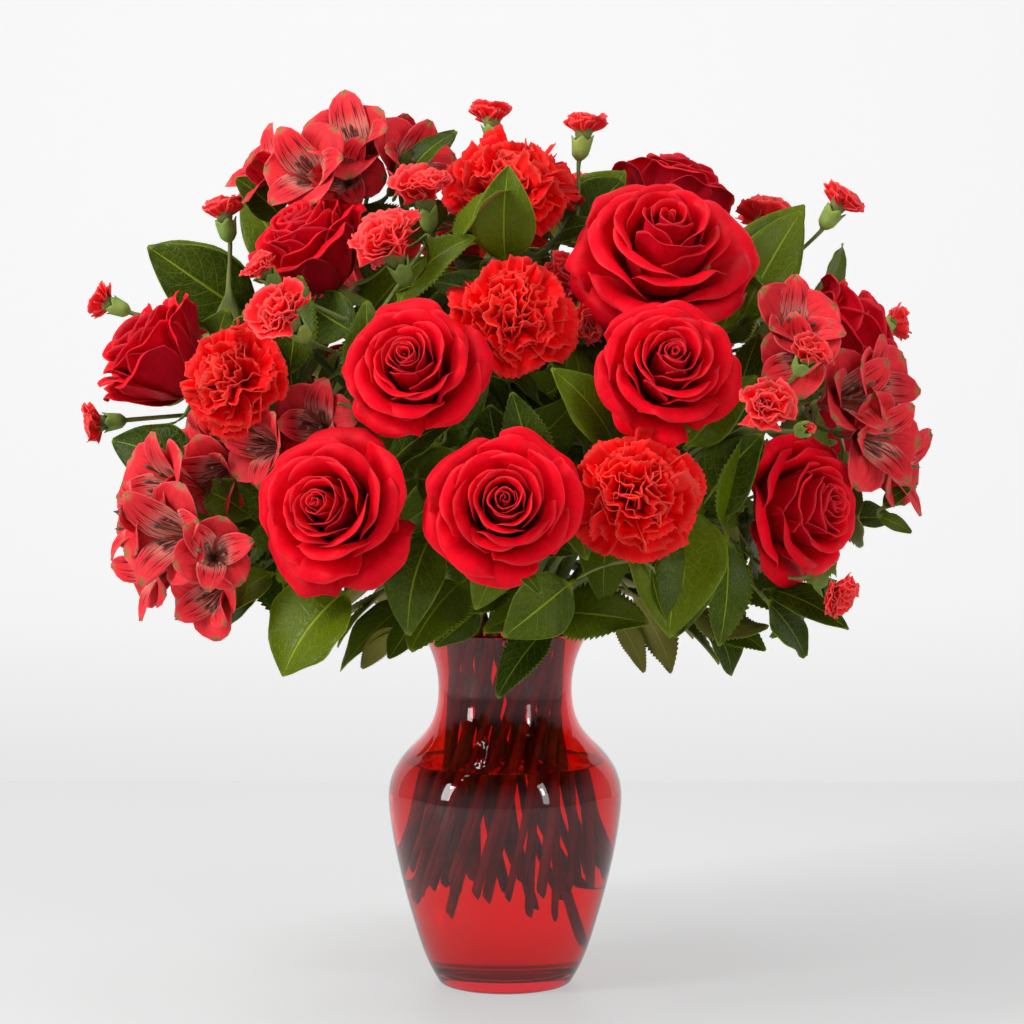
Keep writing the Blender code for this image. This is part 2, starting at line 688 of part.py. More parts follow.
def make_leaf(points, guides):
    """A blade through the grid of points, given its thickness."""
    rows, columns = points.shape[:2]
    bm = bmesh.new()
    bmesh.ops.create_grid(bm, x_segments=rows - 1, y_segments=columns - 1, size=1.0)
    for vertex in bm.verts:
        row = round((vertex.co.x + 1) / 2 * (rows - 1))
        column = round((vertex.co.y + 1) / 2 * (columns - 1))
        vertex.co = Vector(points[row, column])
    leaf = mesh_object("leaf", bm, guides)
    solidify = leaf.modifiers.new("thickness", "SOLIDIFY")
    solidify.thickness = LEAF_THICKNESS
    solidify.offset = 0.0
    return as_mesh(leaf, guides)


def build():
    clear_scene()
    parts = new_collection("carnations_in_a_vase")
    guides = new_collection("cutters")

    heads = gather_heads()
    tops = plant_tops(heads)
    give_slots(tops)
    stems = main_stems(tops)

    leaves = {}
    obstacles = [(head["middle"], head["width"] / 2, head["plant"]) for head in heads]
    for number, (_, blades) in enumerate(LEMON_LEAVES, 1):
        plant = f"lemon_leaf_{number:02d}"
        leaves[plant] = [leaf_grid(blade, 4, 2, heads) for blade in blades]
        for grid in leaves[plant]:
            finer = [row for pair in zip(grid, (grid + np.roll(grid, -1, axis=0)) / 2) for row in pair][:-1]
            for row in finer:
                obstacles += [(point, LEAF_THICKNESS + 0.003, plant) for point in row]
                obstacles += [((row[0] + row[1]) / 2, LEAF_THICKNESS + 0.003, plant),
                              ((row[1] + row[2]) / 2, LEAF_THICKNESS + 0.003, plant)]
    settle(stems, obstacles)

    branches = []
    for stem in stems:
        if stem["kind"] in ("spray_carnation", "alstroemeria"):
            targets = [(head_base(head) + head["facing"] * 0.002, head["facing"])
                       for head in heads if head["plant"] == stem["plant"]]
            branches += branches_of(stem, targets)
        elif stem["kind"] == "lemon_leaf":
            targets = [(grid[0, 1] + (grid[1, 1] - grid[0, 1]) * 0.3, unit(grid[1, 1] - grid[0, 1]))
                       for grid in leaves[stem["plant"]]]
            branches += branches_of(stem, targets)
    for stem in stems:
        obstacles += [(point, stem["radius"], stem["plant"]) for point in stem["path"]]
    settle(branches, obstacles)

    make_vase(parts, guides)
    make_water(stems, parts, guides)
    outlines = {"rose": (12, rose_outline, 0.03), "carnation": (12, carnation_outline, 0.0),
                "spray_carnation": (7, spray_outline, 0.0), "alstroemeria": (6, floret_outline, 0.0)}
    for stem in stems:
        own_heads = []
        for head in heads:
            if head["plant"] == stem["plant"]:
                across, outline, waviness = outlines[head["kind"]]
                own_heads.append(shaped_head(head["plant"], across, head["height"], head_base(head),
                                             head["facing"], outline(head["width"], head["height"]),
                                             guides, waviness))
        if stem["kind"] in ("rose", "carnation"):
            finish(own_heads[0], f"{stem['plant']}_bloom", stem["kind"], parts)
            solid = make_stem(stem, stem["plant"], guides)
            finish(solid, f"{stem['plant']}_stem", "stem", parts)
            continue
        pieces = [make_branch(strand, guides) for strand in branches if strand["plant"] == stem["plant"]]
        pieces += own_heads
        pieces += [make_leaf(grid, guides) for grid in leaves.get(stem["plant"], [])]
        solid = boolean(make_stem(stem, stem["plant"], guides), pieces, "UNION", guides)
        finish(solid, stem["plant"], stem["kind"], parts)


build()
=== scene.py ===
import math
import bpy
import numpy as np
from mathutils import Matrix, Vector


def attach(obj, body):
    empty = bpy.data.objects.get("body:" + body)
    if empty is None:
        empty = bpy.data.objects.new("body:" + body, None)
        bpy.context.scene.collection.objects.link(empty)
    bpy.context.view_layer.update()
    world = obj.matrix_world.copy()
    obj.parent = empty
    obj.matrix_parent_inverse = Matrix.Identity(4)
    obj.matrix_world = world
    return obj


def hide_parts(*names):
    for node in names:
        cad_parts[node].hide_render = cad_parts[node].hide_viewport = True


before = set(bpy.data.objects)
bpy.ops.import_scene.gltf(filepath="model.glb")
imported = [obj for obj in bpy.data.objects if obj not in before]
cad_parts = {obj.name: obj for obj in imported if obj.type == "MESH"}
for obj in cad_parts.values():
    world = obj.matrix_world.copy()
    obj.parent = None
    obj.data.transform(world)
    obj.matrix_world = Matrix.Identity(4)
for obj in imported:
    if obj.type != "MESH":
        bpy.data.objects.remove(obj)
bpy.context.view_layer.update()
bpy.ops.object.select_all(action="DESELECT")
print("frame loaded:", len(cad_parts), "nodes")


# small helpers for places and meshes
def unit(vector):
    vector = np.asarray(vector, dtype=float)
    return vector / np.linalg.norm(vector)


def smooth(value, low=0.0, high=1.0):
    t = np.clip((value - low) / (high - low), 0.0, 1.0)
    return t * t * (3 - 2 * t)


def vertexPlaces(thing):
    places = np.empty(len(thing.data.vertices) * 3)
    thing.data.vertices.foreach_get("co", places)
    return places.reshape(-1, 3)


def setPlaces(thing, places):
    thing.data.vertices.foreach_set("co", np.ascontiguousarray(places, dtype=np.float32).ravel())
    thing.data.update()


def blankSheet(name, across, along, *materials):
    # a flat grid whose copies become petals and leaves; u runs -1 to 1 across, v 0 to 1 along
    bpy.ops.mesh.primitive_grid_add(x_subdivisions=across, y_subdivisions=along, size=1.0)
    blank = bpy.context.object
    blank.name = name
    for material in materials:
        blank.data.materials.append(material)
    places = vertexPlaces(blank)
    blank.select_set(False)
    return {"sheet": blank, "u": places[:, 0] * 2, "v": places[:, 1] + 0.5}


def sheetCopy(blank, places, age=0.5, shade=0.5):
    # one petal or leaf; age and shade are stored for the material
    piece = blank["sheet"].copy()
    piece.data = blank["sheet"].data.copy()
    bpy.context.collection.objects.link(piece)
    setPlaces(piece, places)
    for label, value in (("petalAge", age), ("petalShade", shade)):
        layer = piece.data.attributes.new(label, "FLOAT", "POINT")
        layer.data.foreach_set("value", np.full(len(places), value, dtype=np.float32))
    return piece


def selectOnly(thing):
    bpy.ops.object.select_all(action="DESELECT")
    thing.select_set(True)
    bpy.context.view_layer.objects.active = thing


def joined(name, pieces):
    bpy.ops.object.select_all(action="DESELECT")
    for piece in pieces:
        piece.select_set(True)
    bpy.context.view_layer.objects.active = pieces[0]
    if len(pieces) > 1:
        bpy.ops.object.join()
    whole = bpy.context.view_layer.objects.active
    whole.name = name
    whole.data.name = name
    return whole


def applyModifier(thing, kind, **settings):
    selectOnly(thing)
    modifier = thing.modifiers.new(kind.lower(), kind)
    for label, value in settings.items():
        setattr(modifier, label, value)
    bpy.ops.object.modifier_apply(modifier=modifier.name)
    thing.select_set(False)


def facingAxes(facing, roll=0.0):
    # rows are the head's own x, y and z axes in the world
    z = unit(facing)
    x = unit(np.cross((0.0, 0.0, 1.0), z) if abs(z[2]) < 0.98 else (1.0, 0.0, 0.0))
    y = np.cross(z, x)
    c, s = math.cos(roll), math.sin(roll)
    return np.array([c * x + s * y, -s * x + c * y, z])


def turnedAbout(places, turn):
    c, s = math.cos(turn), math.sin(turn)
    x, y, z = places.T
    return np.column_stack([c * x - s * y, s * x + c * y, z])


def headFromPetals(name, blank, clouds, ages, head, random, edge, thickness):
    # petals shaped about +Z, in millimetres or so, are sized to the head's width and height and turned to it
    everything = np.vstack(clouds)
    size = head["width"] / 2 / np.percentile(np.hypot(everything[:, 0], everything[:, 1]), edge)
    tall = size * np.percentile(everything[:, 2], edge)
    stretch = np.clip(head["height"] / tall, *head.get("stretch", (0.85, 1.2)))
    axes = facingAxes(head["facing"], random.uniform(0, math.tau))
    sizes = (size, size, size * stretch)
    petals = [sheetCopy(blank, cloud * sizes @ axes + head["base"], age, random.uniform())
              for cloud, age in zip(clouds, ages)]
    flower = joined(name, petals)
    applyModifier(flower, "SOLIDIFY", thickness=thickness, offset=0.0, material_offset=1)
    flower.data.shade_smooth()
    return flower


# petals: u runs across one and v from its foot to its rim
rose = {
    "petals": 34,
    "across": 18,
    "along": 15,
    "ages": (0.00, 0.15, 0.30, 0.45, 0.60, 0.75, 0.90, 1.00),
    "lean": (-8, -7, -5, 0, 10, 26, 45, 60),          # degrees, middle of the petal
    "baseSwing": (22, 42, 56, 64, 64, 58, 44, 30),    # degrees, extra at the base
    "tipCurl": (12, 28, 40, 58, 80, 98, 110, 115),    # degrees, at the tip
    "length": (38, 39, 40, 41, 42, 42, 43, 43),       # millimetres on a head 72 wide
    "wrap": (150, 112, 88, 74, 63, 55, 50, 47),       # degrees to each side
    "spiral": 0.15,
    "turn": 137.5,
    "thickness": 0.0004,
}


def curveOutline(v, lean, swing, curl, length, baseRadius, baseHeight, curlFrom):
    # radius and height along a petal's midline, from its direction at each point
    steps = 60
    t = np.linspace(0, 1, steps)
    direction = lean + swing * (1 - smooth(t, 0.0, 0.5)) + curl * smooth(t, curlFrom, 1.0) ** 1.5
    radius = baseRadius + np.concatenate([[0], np.cumsum(np.sin(direction[:-1]) * length / (steps - 1))])
    height = baseHeight + np.concatenate([[0], np.cumsum(np.cos(direction[:-1]) * length / (steps - 1))])
    return np.interp(v, t, radius), np.interp(v, t, height), np.interp(v, t, direction)


def rosePetal(blank, age, openness, random):
    u, v = blank["u"], blank["v"]

    def at(label):
        return float(np.interp(age, rose["ages"], rose[label]))

    lean = math.radians(at("lean") * (0.25 + 0.8 * openness) + random.normal(0, 1 + 3 * age))
    swing = math.radians(at("baseSwing"))
    curl = math.radians(at("tipCurl") * (0.55 + 0.45 * openness) * random.uniform(0.75, 1.2))
    length = at("length") * random.uniform(0.96, 1.04)
    wrap = math.radians(at("wrap")) * random.uniform(0.93, 1.07)
    crown = (0.10 + 0.16 * age) * np.abs(u) ** 2.4 - 0.12 * age * np.exp(-np.abs(u) / 0.15)
    reach = v * (1 - crown)
    curlFrom = 0.90 - 0.26 * age - 0.05 * random.uniform()
    radius, height, direction = curveOutline(reach, lean, swing, curl, length,
                                             1.1 + 3.7 * age, 3.0 - 2.5 * age, curlFrom)
    width = 0.55 + 0.45 * smooth(v, 0.0, 0.55) - 0.10 * smooth(v, 0.75, 1.0) * age
    radius = radius * (1 + rose["spiral"] * (1 - 0.65 * age) * u)
    angle = u * wrap * width
    flat = 1 + 0.45 * age * v
    across = radius * flat
    x = (radius - across) + across * np.cos(angle / flat)
    y = across * np.sin(angle / flat)
    # side edges roll back on the open petals
    roll = smooth(np.abs(u), 0.55, 1.0) * smooth(v, 0.35, 1.0) * age ** 1.3
    outward = 5.2 * roll * random.uniform(0.5, 1.3)
    x = x + outward * np.cos(direction) * np.cos(angle * 0.6)
    y = y + outward * np.cos(direction) * np.sin(angle * 0.6)
    height = height - outward * np.sin(direction)
    # soft waves, stronger to the rim
    phase = random.uniform(0, math.tau, 4)
    wave = (0.55 * np.sin(3.3 * u + phase[0]) + 0.35 * np.sin(6.1 * u + 2.0 * v + phase[1])
            + 0.26 * np.sin(10.5 * u - 4.0 * v + phase[2])) * v ** 2 * (0.35 + 1.5 * age)
    x = x + wave * np.cos(direction)
    height = height - wave * np.sin(direction)
    return np.column_stack([x, y, height])


def makeRose(name, blank, head, openness, seed):
    random = np.random.default_rng(seed)
    count = rose["petals"]
    clouds, ages = [], []
    for i in range(count):
        age = (i + 0.5) / count
        places = rosePetal(blank, age, openness, random)
        turn = math.radians(rose["turn"] * i + random.normal(0, 5))
        tilt = math.radians(random.normal(0, 1.5 + 3 * age))
        x, y, z = places.T
        y, z = y * math.cos(tilt) - z * math.sin(tilt) * 0.35, z + y * math.sin(tilt) * 0.6
        clouds.append(turnedAbout(np.column_stack([x, y, z]), turn))
        ages.append(age)
    return headFromPetals(name, blank, clouds, ages, head, random, 99.3, rose["thickness"])


carnation = {
    "petals": 46,
    "across": 28,
    "along": 9,
    "widestLean": 104,     # degrees from the axis, outermost petal
    "length": (33, 45),    # millimetres on a head 70 wide, inner and outer
    "fan": 37,             # width of a petal's fringe, same scale
    "teeth": 5.5,
    "ruffle": 3.4,
    "turn": 137.5,
    "thickness": 0.00035,
}


def carnationPetal(blank, age, widestLean, random):
    u, v = blank["u"], blank["v"]
    lean = math.radians(widestLean * age ** 0.72 + random.normal(0, 6))
    length = np.interp(age, (0, 1), carnation["length"]) * random.uniform(0.88, 1.08)
    tooth = np.abs(((u * carnation["teeth"] + random.uniform()) % 1.0) - 0.5) * 2
    reach = v * (1 - 0.17 * u ** 2) + 0.034 * (tooth - 0.5) * smooth(v, 0.80, 1.0)
    steps = 40
    t = np.linspace(0, 1.08, steps)
    direction = lean * smooth(t, 0.10, 0.62) + math.radians(random.normal(8, 12)) * smooth(t, 0.7, 1.0)
    radius = np.concatenate([[0], np.cumsum(np.sin(direction[:-1]))]) * length * 1.08 / steps
    radius = 0.8 + 1.4 * age + radius
    height = np.concatenate([[0], np.cumsum(np.cos(direction[:-1]))]) * length * 1.08 / steps
    direction = np.interp(reach, t, direction)
    half = 1.2 + (carnation["fan"] / 2) * random.uniform(0.85, 1.1) * smooth(v, 0.18, 1.05) ** 1.15
    phase = random.uniform(0, math.tau, 3)
    ruffles = random.uniform(1.1, 1.9)
    crumple = carnation["ruffle"] * (1.25 - 0.80 * age)
    wave = (crumple * np.sin(math.pi * ruffles * u + phase[0]) * v ** 1.6
            + 0.45 * crumple * np.sin(math.pi * ruffles * 2.3 * u + 2 * v + phase[1]) * v ** 2.5
            + 0.22 * crumple * np.sin(math.pi * ruffles * 4.7 * u + phase[2]) * v ** 4)
    cup = -2.4 * u ** 2 * v
    offset = wave + cup
    x, y, z = np.zeros_like(u) + offset, u * half * 0.86, np.zeros_like(u)
    twist = random.normal(0, math.radians(14 + 34 * (1 - age))) * smooth(v, 0.2, 0.9)
    x, y = x * np.cos(twist) - y * np.sin(twist), x * np.sin(twist) + y * np.cos(twist)
    away, rise = np.interp(reach, t, radius), np.interp(reach, t, height)
    return np.column_stack([away + x * np.cos(direction), y, rise - x * np.sin(direction)])


def makeCarnation(name, blank, head, seed, petals=None, widestLean=None):
    random = np.random.default_rng(seed)
    count = petals or carnation["petals"]
    clouds, ages = [], []
    for i in range(count):
        age = (i + 0.5) / count
        places = carnationPetal(blank, age, widestLean or carnation["widestLean"], random)
        turn = math.radians(carnation["turn"] * i + random.normal(0, 9))
        clouds.append(turnedAbout(places, turn))
        ages.append(age)
    return headFromPetals(name, blank, clouds, ages, head, random, 99.0, carnation["thickness"])


alstroemeria = {
    "across": 10,
    "along": 12,
    "outerTepal": {"length": 40, "width": 25, "open": 44, "widest": 0.72},
    "innerTepal": {"length": 45, "width": 16, "open": 30, "widest": 0.60},
    "stamens": 6,
    "thickness": 0.00045,
}


def tepal(blank, shape, random):
    u, v = blank["u"], blank["v"]
    length = shape["length"] * random.uniform(0.95, 1.05)
    opening = math.radians(shape["open"] + random.normal(0, 10))
    steps = 40
    t = np.linspace(0, 1, steps)
    rollBack = math.radians(random.uniform(5, 60))
    direction = math.radians(12) + opening * smooth(t, 0.25, 0.85) + rollBack * smooth(t, 0.72, 1.0)
    radius = 1.4 + np.concatenate([[0], np.cumsum(np.sin(direction[:-1]))]) * length / steps
    height = np.concatenate([[0], np.cumsum(np.cos(direction[:-1]))]) * length / steps
    direction = np.interp(v, t, direction)
    widest = shape["widest"]
    rising = smooth(v, 0.0, widest) ** 0.8
    closing = np.sqrt(np.clip(1 - (np.clip(v - widest, 0, None) / (1.02 - widest)) ** 1.9, 0.0, None))
    half = 1.3 + (shape["width"] / 2 - 1.3) * rising * closing
    half = half * np.where(v > 0.88, 1 - 0.62 * smooth(v, 0.88, 1.0), 1.0)
    phase = random.uniform(0, math.tau, 2)
    offset = (-0.30 * half * u ** 2 * (1.3 - v) + 0.5 * np.sin(4 * v * math.pi + 3 * u + phase[0]) * np.abs(u)
              + 0.25 * np.sin(9 * u + phase[1]) * v)
    away, rise = np.interp(v, t, radius), np.interp(v, t, height)
    return np.column_stack([away + offset * np.cos(direction), u * half, rise - offset * np.sin(direction)])


def makeFloret(name, blank, head, seed):
    random = np.random.default_rng(seed)
    clouds, ages = [], []
    for i in range(6):
        inner = i % 2
        shape = alstroemeria["innerTepal"] if inner else alstroemeria["outerTepal"]
        places = tepal(blank, shape, random)
        if inner:
            places[:, 0] -= 0.8
        turn = math.radians(60 * i + random.normal(0, 4))
        clouds.append(turnedAbout(places, turn))
        ages.append(float(inner))
    return headFromPetals(name, blank, clouds, ages, head, random, 97.0, alstroemeria["thickness"])


# leaves
leaf = {
    "across": 10,
    "along": 16,
    "serratedAlong": 44,
    "thickness": 0.0005,
    "petiole": 0.09,
    "kindNumber": {"lemon": 0.0, "rose": 0.5, "strap": 1.0},   # tells the material which leaf it is
    "lemon": {"arch": 0.10, "fold": 0.20, "wave": 0.045, "serration": 0.0, "fullness": 0.78},
    "rose": {"arch": 0.08, "fold": 0.24, "wave": 0.030, "serration": 0.17, "fullness": 0.80},
    "strap": {"arch": 0.16, "fold": 0.16, "wave": 0.040, "serration": 0.0, "fullness": 0.95},
}


def leafPlaces(blank, base, tip, width, face, kind, random, balls=()):
    u, v = blank["u"], blank["v"]
    shape = leaf[kind]
    base, tip = np.array(base, dtype=float), np.array(tip, dtype=float)
    along = tip - base
    length = np.linalg.norm(along)
    normal = unit(np.array(face) - unit(along) * (np.array(face) @ unit(along)))
    side = np.cross(unit(along), normal)
    blade = np.clip((v - leaf["petiole"]) / (1 - leaf["petiole"]), 0, 1)
    outline = np.sin(math.pi * blade ** shape["fullness"]) ** 0.85 * (1 - 0.10 * blade)
    notch = 1 + shape["serration"] * (np.round(v * leaf["serratedAlong"]) % 2 - 0.5) * np.abs(u) ** 8
    half = 0.0008 + width / 2 * np.nan_to_num(outline) * notch
    phase = random.uniform(0, math.tau, 3)
    lift = (shape["arch"] * random.uniform(0.5, 1.3) * length * 4 * v * (1 - v)
            + shape["fold"] * random.uniform(0.6, 1.3) * half * np.abs(u) ** 1.2
            + shape["wave"] * width * np.sin(9 * v + phase[0] + np.sign(u)) * u ** 2
            + 0.4 * shape["wave"] * width * np.sin(21 * v + phase[1]) * np.abs(u) ** 3)
    droop = 0.06 * length * random.uniform(-0.4, 1.4) * v ** 3
    sway = 0.05 * length * random.normal() * v * (1 - v) * 2
    places = (base + np.outer(v, along) + np.outer(u * half + sway, side)
              + np.outer(lift - droop, normal))
    for middle, reach in balls:
        offsets = places - middle
        distances = np.linalg.norm(offsets, axis=1)
        inside = distances < reach
        places[inside] = middle + offsets[inside] / distances[inside][:, None] * reach
    return places


def makeLeaves(name, blanks, rows, random, balls=()):
    pieces = []
    for base, tip, width, face, kind in rows:
        blank = blanks.get(kind, blanks["lemon"])
        places = leafPlaces(blank, base, tip, width, face, kind, random, balls)
        pieces.append(sheetCopy(blank, places, leaf["kindNumber"][kind], random.uniform()))
    leaves = joined(name, pieces)
    applyModifier(leaves, "SOLIDIFY", thickness=leaf["thickness"], offset=0.0, material_offset=1)
    leaves.data.shade_smooth()
    return leaves


# materials
def nodeIn(tree, kind, inputs=None, **settings):
    # a new shader node; an input is either a value or another node's socket
    made = tree.nodes.new(kind)
    for label, value in settings.items():
        setattr(made, label, value)
    for label, value in (inputs or {}).items():
        if isinstance(value, bpy.types.NodeSocket):
            tree.links.new(value, made.inputs[label])
        else:
            made.inputs[label].default_value = value
    return made


def arithmetic(tree, operation, first, second=0.0, third=0.0):
    return nodeIn(tree, "ShaderNodeMath", {0: first, 1: second, 2: third}, operation=operation).outputs[0]


def product(tree, first, second):
    return arithmetic(tree, "MULTIPLY", first, second)


def scaled(tree, value, factor, start):
    return arithmetic(tree, "MULTIPLY_ADD", value, factor, start)


def less(tree, first, second):
    return arithmetic(tree, "SUBTRACT", first, second)


def total(tree, first, second):
    return arithmetic(tree, "ADD", first, second)


def centred(tree, noise):
    return less(tree, noise, 0.5)


def objectPlace(tree):
    return nodeIn(tree, "ShaderNodeTexCoord").outputs["Object"]


def noiseIn(tree, place, scale, detail):
    settings = {"Vector": place, "Scale": scale, "Detail": detail}
    return nodeIn(tree, "ShaderNodeTexNoise", settings).outputs["Fac"]


def stretchedIn(tree, place, scale):
    return nodeIn(tree, "ShaderNodeMapping", {"Vector": place, "Scale": scale}).outputs[0]


def ramped(tree, value, low, high, start=0.0, end=1.0):
    settings = {"Value": value, "From Min": low, "From Max": high, "To Min": start, "To Max": end}
    return nodeIn(tree, "ShaderNodeMapRange", settings, interpolation_type="SMOOTHSTEP").outputs[0]


def mixedColour(tree, factor, first, second, blend="MIX"):
    return nodeIn(tree, "ShaderNodeMix", {0: factor, 6: first, 7: second}, data_type="RGBA",
                  blend_type=blend).outputs[2]


def newGroup(name, inputs):
    # a node group whose colour and height outputs go into each material's own shader
    tree = bpy.data.node_groups.new(name, "ShaderNodeTree")
    for label, value in inputs.items():
        kind = "NodeSocketColor" if isinstance(value, tuple) else "NodeSocketFloat"
        socket = tree.interface.new_socket(label, in_out="INPUT", socket_type=kind)
        socket.default_value = value
    for label, kind in (("Color", "Color"), ("Roughness", "Float"), ("Height", "Float")):
        tree.interface.new_socket(label, in_out="OUTPUT", socket_type="NodeSocket" + kind)
    return tree, tree.nodes.new("NodeGroupInput").outputs, tree.nodes.new("NodeGroupOutput").inputs


def sheetCoordinates(tree):
    # u and v of a petal or leaf, and the distance to its nearest free edge
    uv = nodeIn(tree, "ShaderNodeUVMap", uv_map="UVMap").outputs[0]
    split = nodeIn(tree, "ShaderNodeSeparateXYZ", {0: uv}).outputs
    side = arithmetic(tree, "ABSOLUTE", scaled(tree, split[0], 2.0, -1.0))
    edge = arithmetic(tree, "MINIMUM", less(tree, 1.0, side), less(tree, 1.0, split[1]))
    return {"uv": uv, "u": split[0], "v": split[1], "side": side, "edge": edge}


def attribute(tree, label):
    return nodeIn(tree, "ShaderNodeAttribute", attribute_name=label).outputs["Fac"]


def buildPetalTones():
    tree, given, out = newGroup("petalTones", {
        "Deep": (0.2, 0.0, 0.01, 1.0), "Body": (0.6, 0.01, 0.02, 1.0), "Rim": (0.8, 0.1, 0.1, 1.0),
        "Rim Width": 0.06, "Rim Strength": 0.6, "Fibre": 0.3, "Deep Reach": 0.7, "Roughness": 0.5})
    sheet = sheetCoordinates(tree)
    age, shade = attribute(tree, "petalAge"), attribute(tree, "petalShade")
    stretched = stretchedIn(tree, sheet["uv"], (34.0, 2.4, 1.0))
    fibres = noiseIn(tree, stretched, 1.0, 3.0)
    place = objectPlace(tree)
    blotches = noiseIn(tree, place, 130.0, 3.0)
    grain = noiseIn(tree, place, 2600.0, 2.0)
    # the feet and the inner petals take the Deep colour: painted shade where the petals crowd in on the roses
    # and carnations; on the tepals it is their own foot colour
    reach = scaled(tree, age, 0.35, sheet["v"])
    lit = ramped(tree, reach, 0.12, total(tree, given["Deep Reach"], 0.30))
    colour = mixedColour(tree, lit, given["Deep"], given["Body"])
    # a lighter rim along the free edges: painted highlight where the edges catch the light
    ragged = scaled(tree, centred(tree, blotches), 0.05, sheet["edge"])
    rim = product(tree, ramped(tree, ragged, 0.0, given["Rim Width"], 1.0, 0.0), given["Rim Strength"])
    colour = mixedColour(tree, rim, colour, given["Rim"])
    uneven = total(tree, product(tree, centred(tree, fibres), given["Fibre"]),
                  product(tree, centred(tree, blotches), 0.5))
    uneven = total(tree, uneven, product(tree, centred(tree, shade), 0.3))
    settings = {"Color": colour, "Value": total(tree, 1.0, uneven)}
    colour = nodeIn(tree, "ShaderNodeHueSaturation", settings).outputs[0]
    tree.links.new(colour, out["Color"])
    tree.links.new(total(tree, given["Roughness"], product(tree, centred(tree, grain), 0.25)),
                   out["Roughness"])
    height = total(tree, product(tree, fibres, 0.7), product(tree, grain, 0.35))
    tree.links.new(height, out["Height"])
    return tree


def buildLeafVeins():
    tree, given, out = newGroup("leafVeins", {
        "Blade": (0.03, 0.1, 0.01, 1.0), "Light": (0.08, 0.2, 0.02, 1.0), "Vein": (0.2, 0.3, 0.08, 1.0),
        "Old": (0.1, 0.1, 0.03, 1.0), "Vein Strength": 0.6, "Roughness": 0.35})
    sheet = sheetCoordinates(tree)
    shade, kind = attribute(tree, "petalShade"), attribute(tree, "petalAge")
    place = objectPlace(tree)
    wander = noiseIn(tree, place, 90.0, 2.0)
    midrib = ramped(tree, sheet["side"], 0.018, 0.055, 1.0, 0.0)
    # side veins leave the midrib and curve towards the tip
    bent = arithmetic(tree, "POWER", sheet["side"], 1.25)
    lean = less(tree, sheet["v"], product(tree, bent, 0.26))
    lean = scaled(tree, wander, 0.03, lean)
    lean = scaled(tree, arithmetic(tree, "GREATER_THAN", sheet["u"], 0.5), 0.055, lean)
    comb = arithmetic(tree, "PINGPONG", product(tree, lean, 17.0), 1.0)
    thin = scaled(tree, sheet["side"], -0.05, 0.10)
    ribs = ramped(tree, comb, 0.0, thin, 1.0, 0.0)
    narrow = stretchedIn(tree, sheet["uv"], (11.0, 20.0, 1.0))
    net = nodeIn(tree, "ShaderNodeTexVoronoi", {"Vector": narrow, "Scale": 1.0},
                 feature="DISTANCE_TO_EDGE").outputs[0]
    mesh = ramped(tree, net, 0.0, 0.09, 1.0, 0.0)
    straps = arithmetic(tree, "PINGPONG", product(tree, sheet["u"], 11.0), 1.0)
    strapRibs = ramped(tree, straps, 0.0, 0.16, 0.6, 0.0)
    isStrap = arithmetic(tree, "GREATER_THAN", kind, 0.75)
    ribs = total(tree, product(tree, ribs, less(tree, 1.0, isStrap)),
                product(tree, strapRibs, isStrap))
    veins = arithmetic(tree, "MAXIMUM", midrib, product(tree, ribs, 0.62))
    veins = arithmetic(tree, "MAXIMUM", veins, product(tree, mesh, 0.22))
    patches = noiseIn(tree, place, 46.0, 4.0)
    tone = total(tree, product(tree, shade, 0.55), product(tree, patches, 0.5))
    colour = mixedColour(tree, ramped(tree, tone, 0.15, 0.85), given["Blade"], given["Light"])
    colour = mixedColour(tree, product(tree, veins, given["Vein Strength"]), colour, given["Vein"])
    rim = product(tree, ramped(tree, sheet["edge"], 0.0, 0.05, 1.0, 0.0), 0.55)
    colour = mixedColour(tree, rim, colour, given["Vein"])
    blemish = ramped(tree, noiseIn(tree, place, 210.0, 5.0),
                     0.66, 0.76)
    colour = mixedColour(tree, product(tree, blemish, 0.5), colour, given["Old"])
    stalk = ramped(tree, sheet["v"], 0.06, 0.16, 0.8, 0.0)
    colour = mixedColour(tree, stalk, colour, given["Vein"])
    tree.links.new(colour, out["Color"])
    rough = scaled(tree, veins, 0.18, given["Roughness"])
    tree.links.new(scaled(tree, patches, 0.12, rough), out["Roughness"])
    raised = less(tree, product(tree, patches, 0.4), product(tree, veins, 1.0))
    tree.links.new(raised, out["Height"])
    return tree


def newMaterial(name):
    material = bpy.data.materials.new(name)
    material.use_nodes = True
    return material, material.node_tree, material.node_tree.nodes["Principled BSDF"]


def groupMaterial(name, group, values, bump, sockets):
    # one Principled shader fed by a group, with its plain values on its own sockets
    material, tree, shader = newMaterial(name)
    pattern = nodeIn(tree, "ShaderNodeGroup", node_tree=group)
    for label, value in values.items():
        pattern.inputs[label].default_value = value
    settings = {"Height": pattern.outputs["Height"], "Distance": bump, "Strength": 0.6}
    raised = nodeIn(tree, "ShaderNodeBump", settings)
    tree.links.new(pattern.outputs["Color"], shader.inputs["Base Color"])
    tree.links.new(pattern.outputs["Roughness"], shader.inputs["Roughness"])
    tree.links.new(raised.outputs["Normal"], shader.inputs["Normal"])
    for label, value in sockets.items():
        shader.inputs[label].default_value = value
    return material


petalTones = buildPetalTones()
leafVeins = buildLeafVeins()
velvet = {"Sheen Weight": 0.03, "Sheen Roughness": 0.45, "Sheen Tint": (1.0, 0.20, 0.22, 1.0),
          "Specular IOR Level": 0.09, "Subsurface Weight": 0.10, "Subsurface Radius": (0.004, 0.0006, 0.0006),
          "Subsurface Scale": 1.0}
waxy = {"Specular IOR Level": 0.14, "Subsurface Weight": 0.04, "Subsurface Radius": (0.0008, 0.002, 0.0004),
        "Subsurface Scale": 1.0}
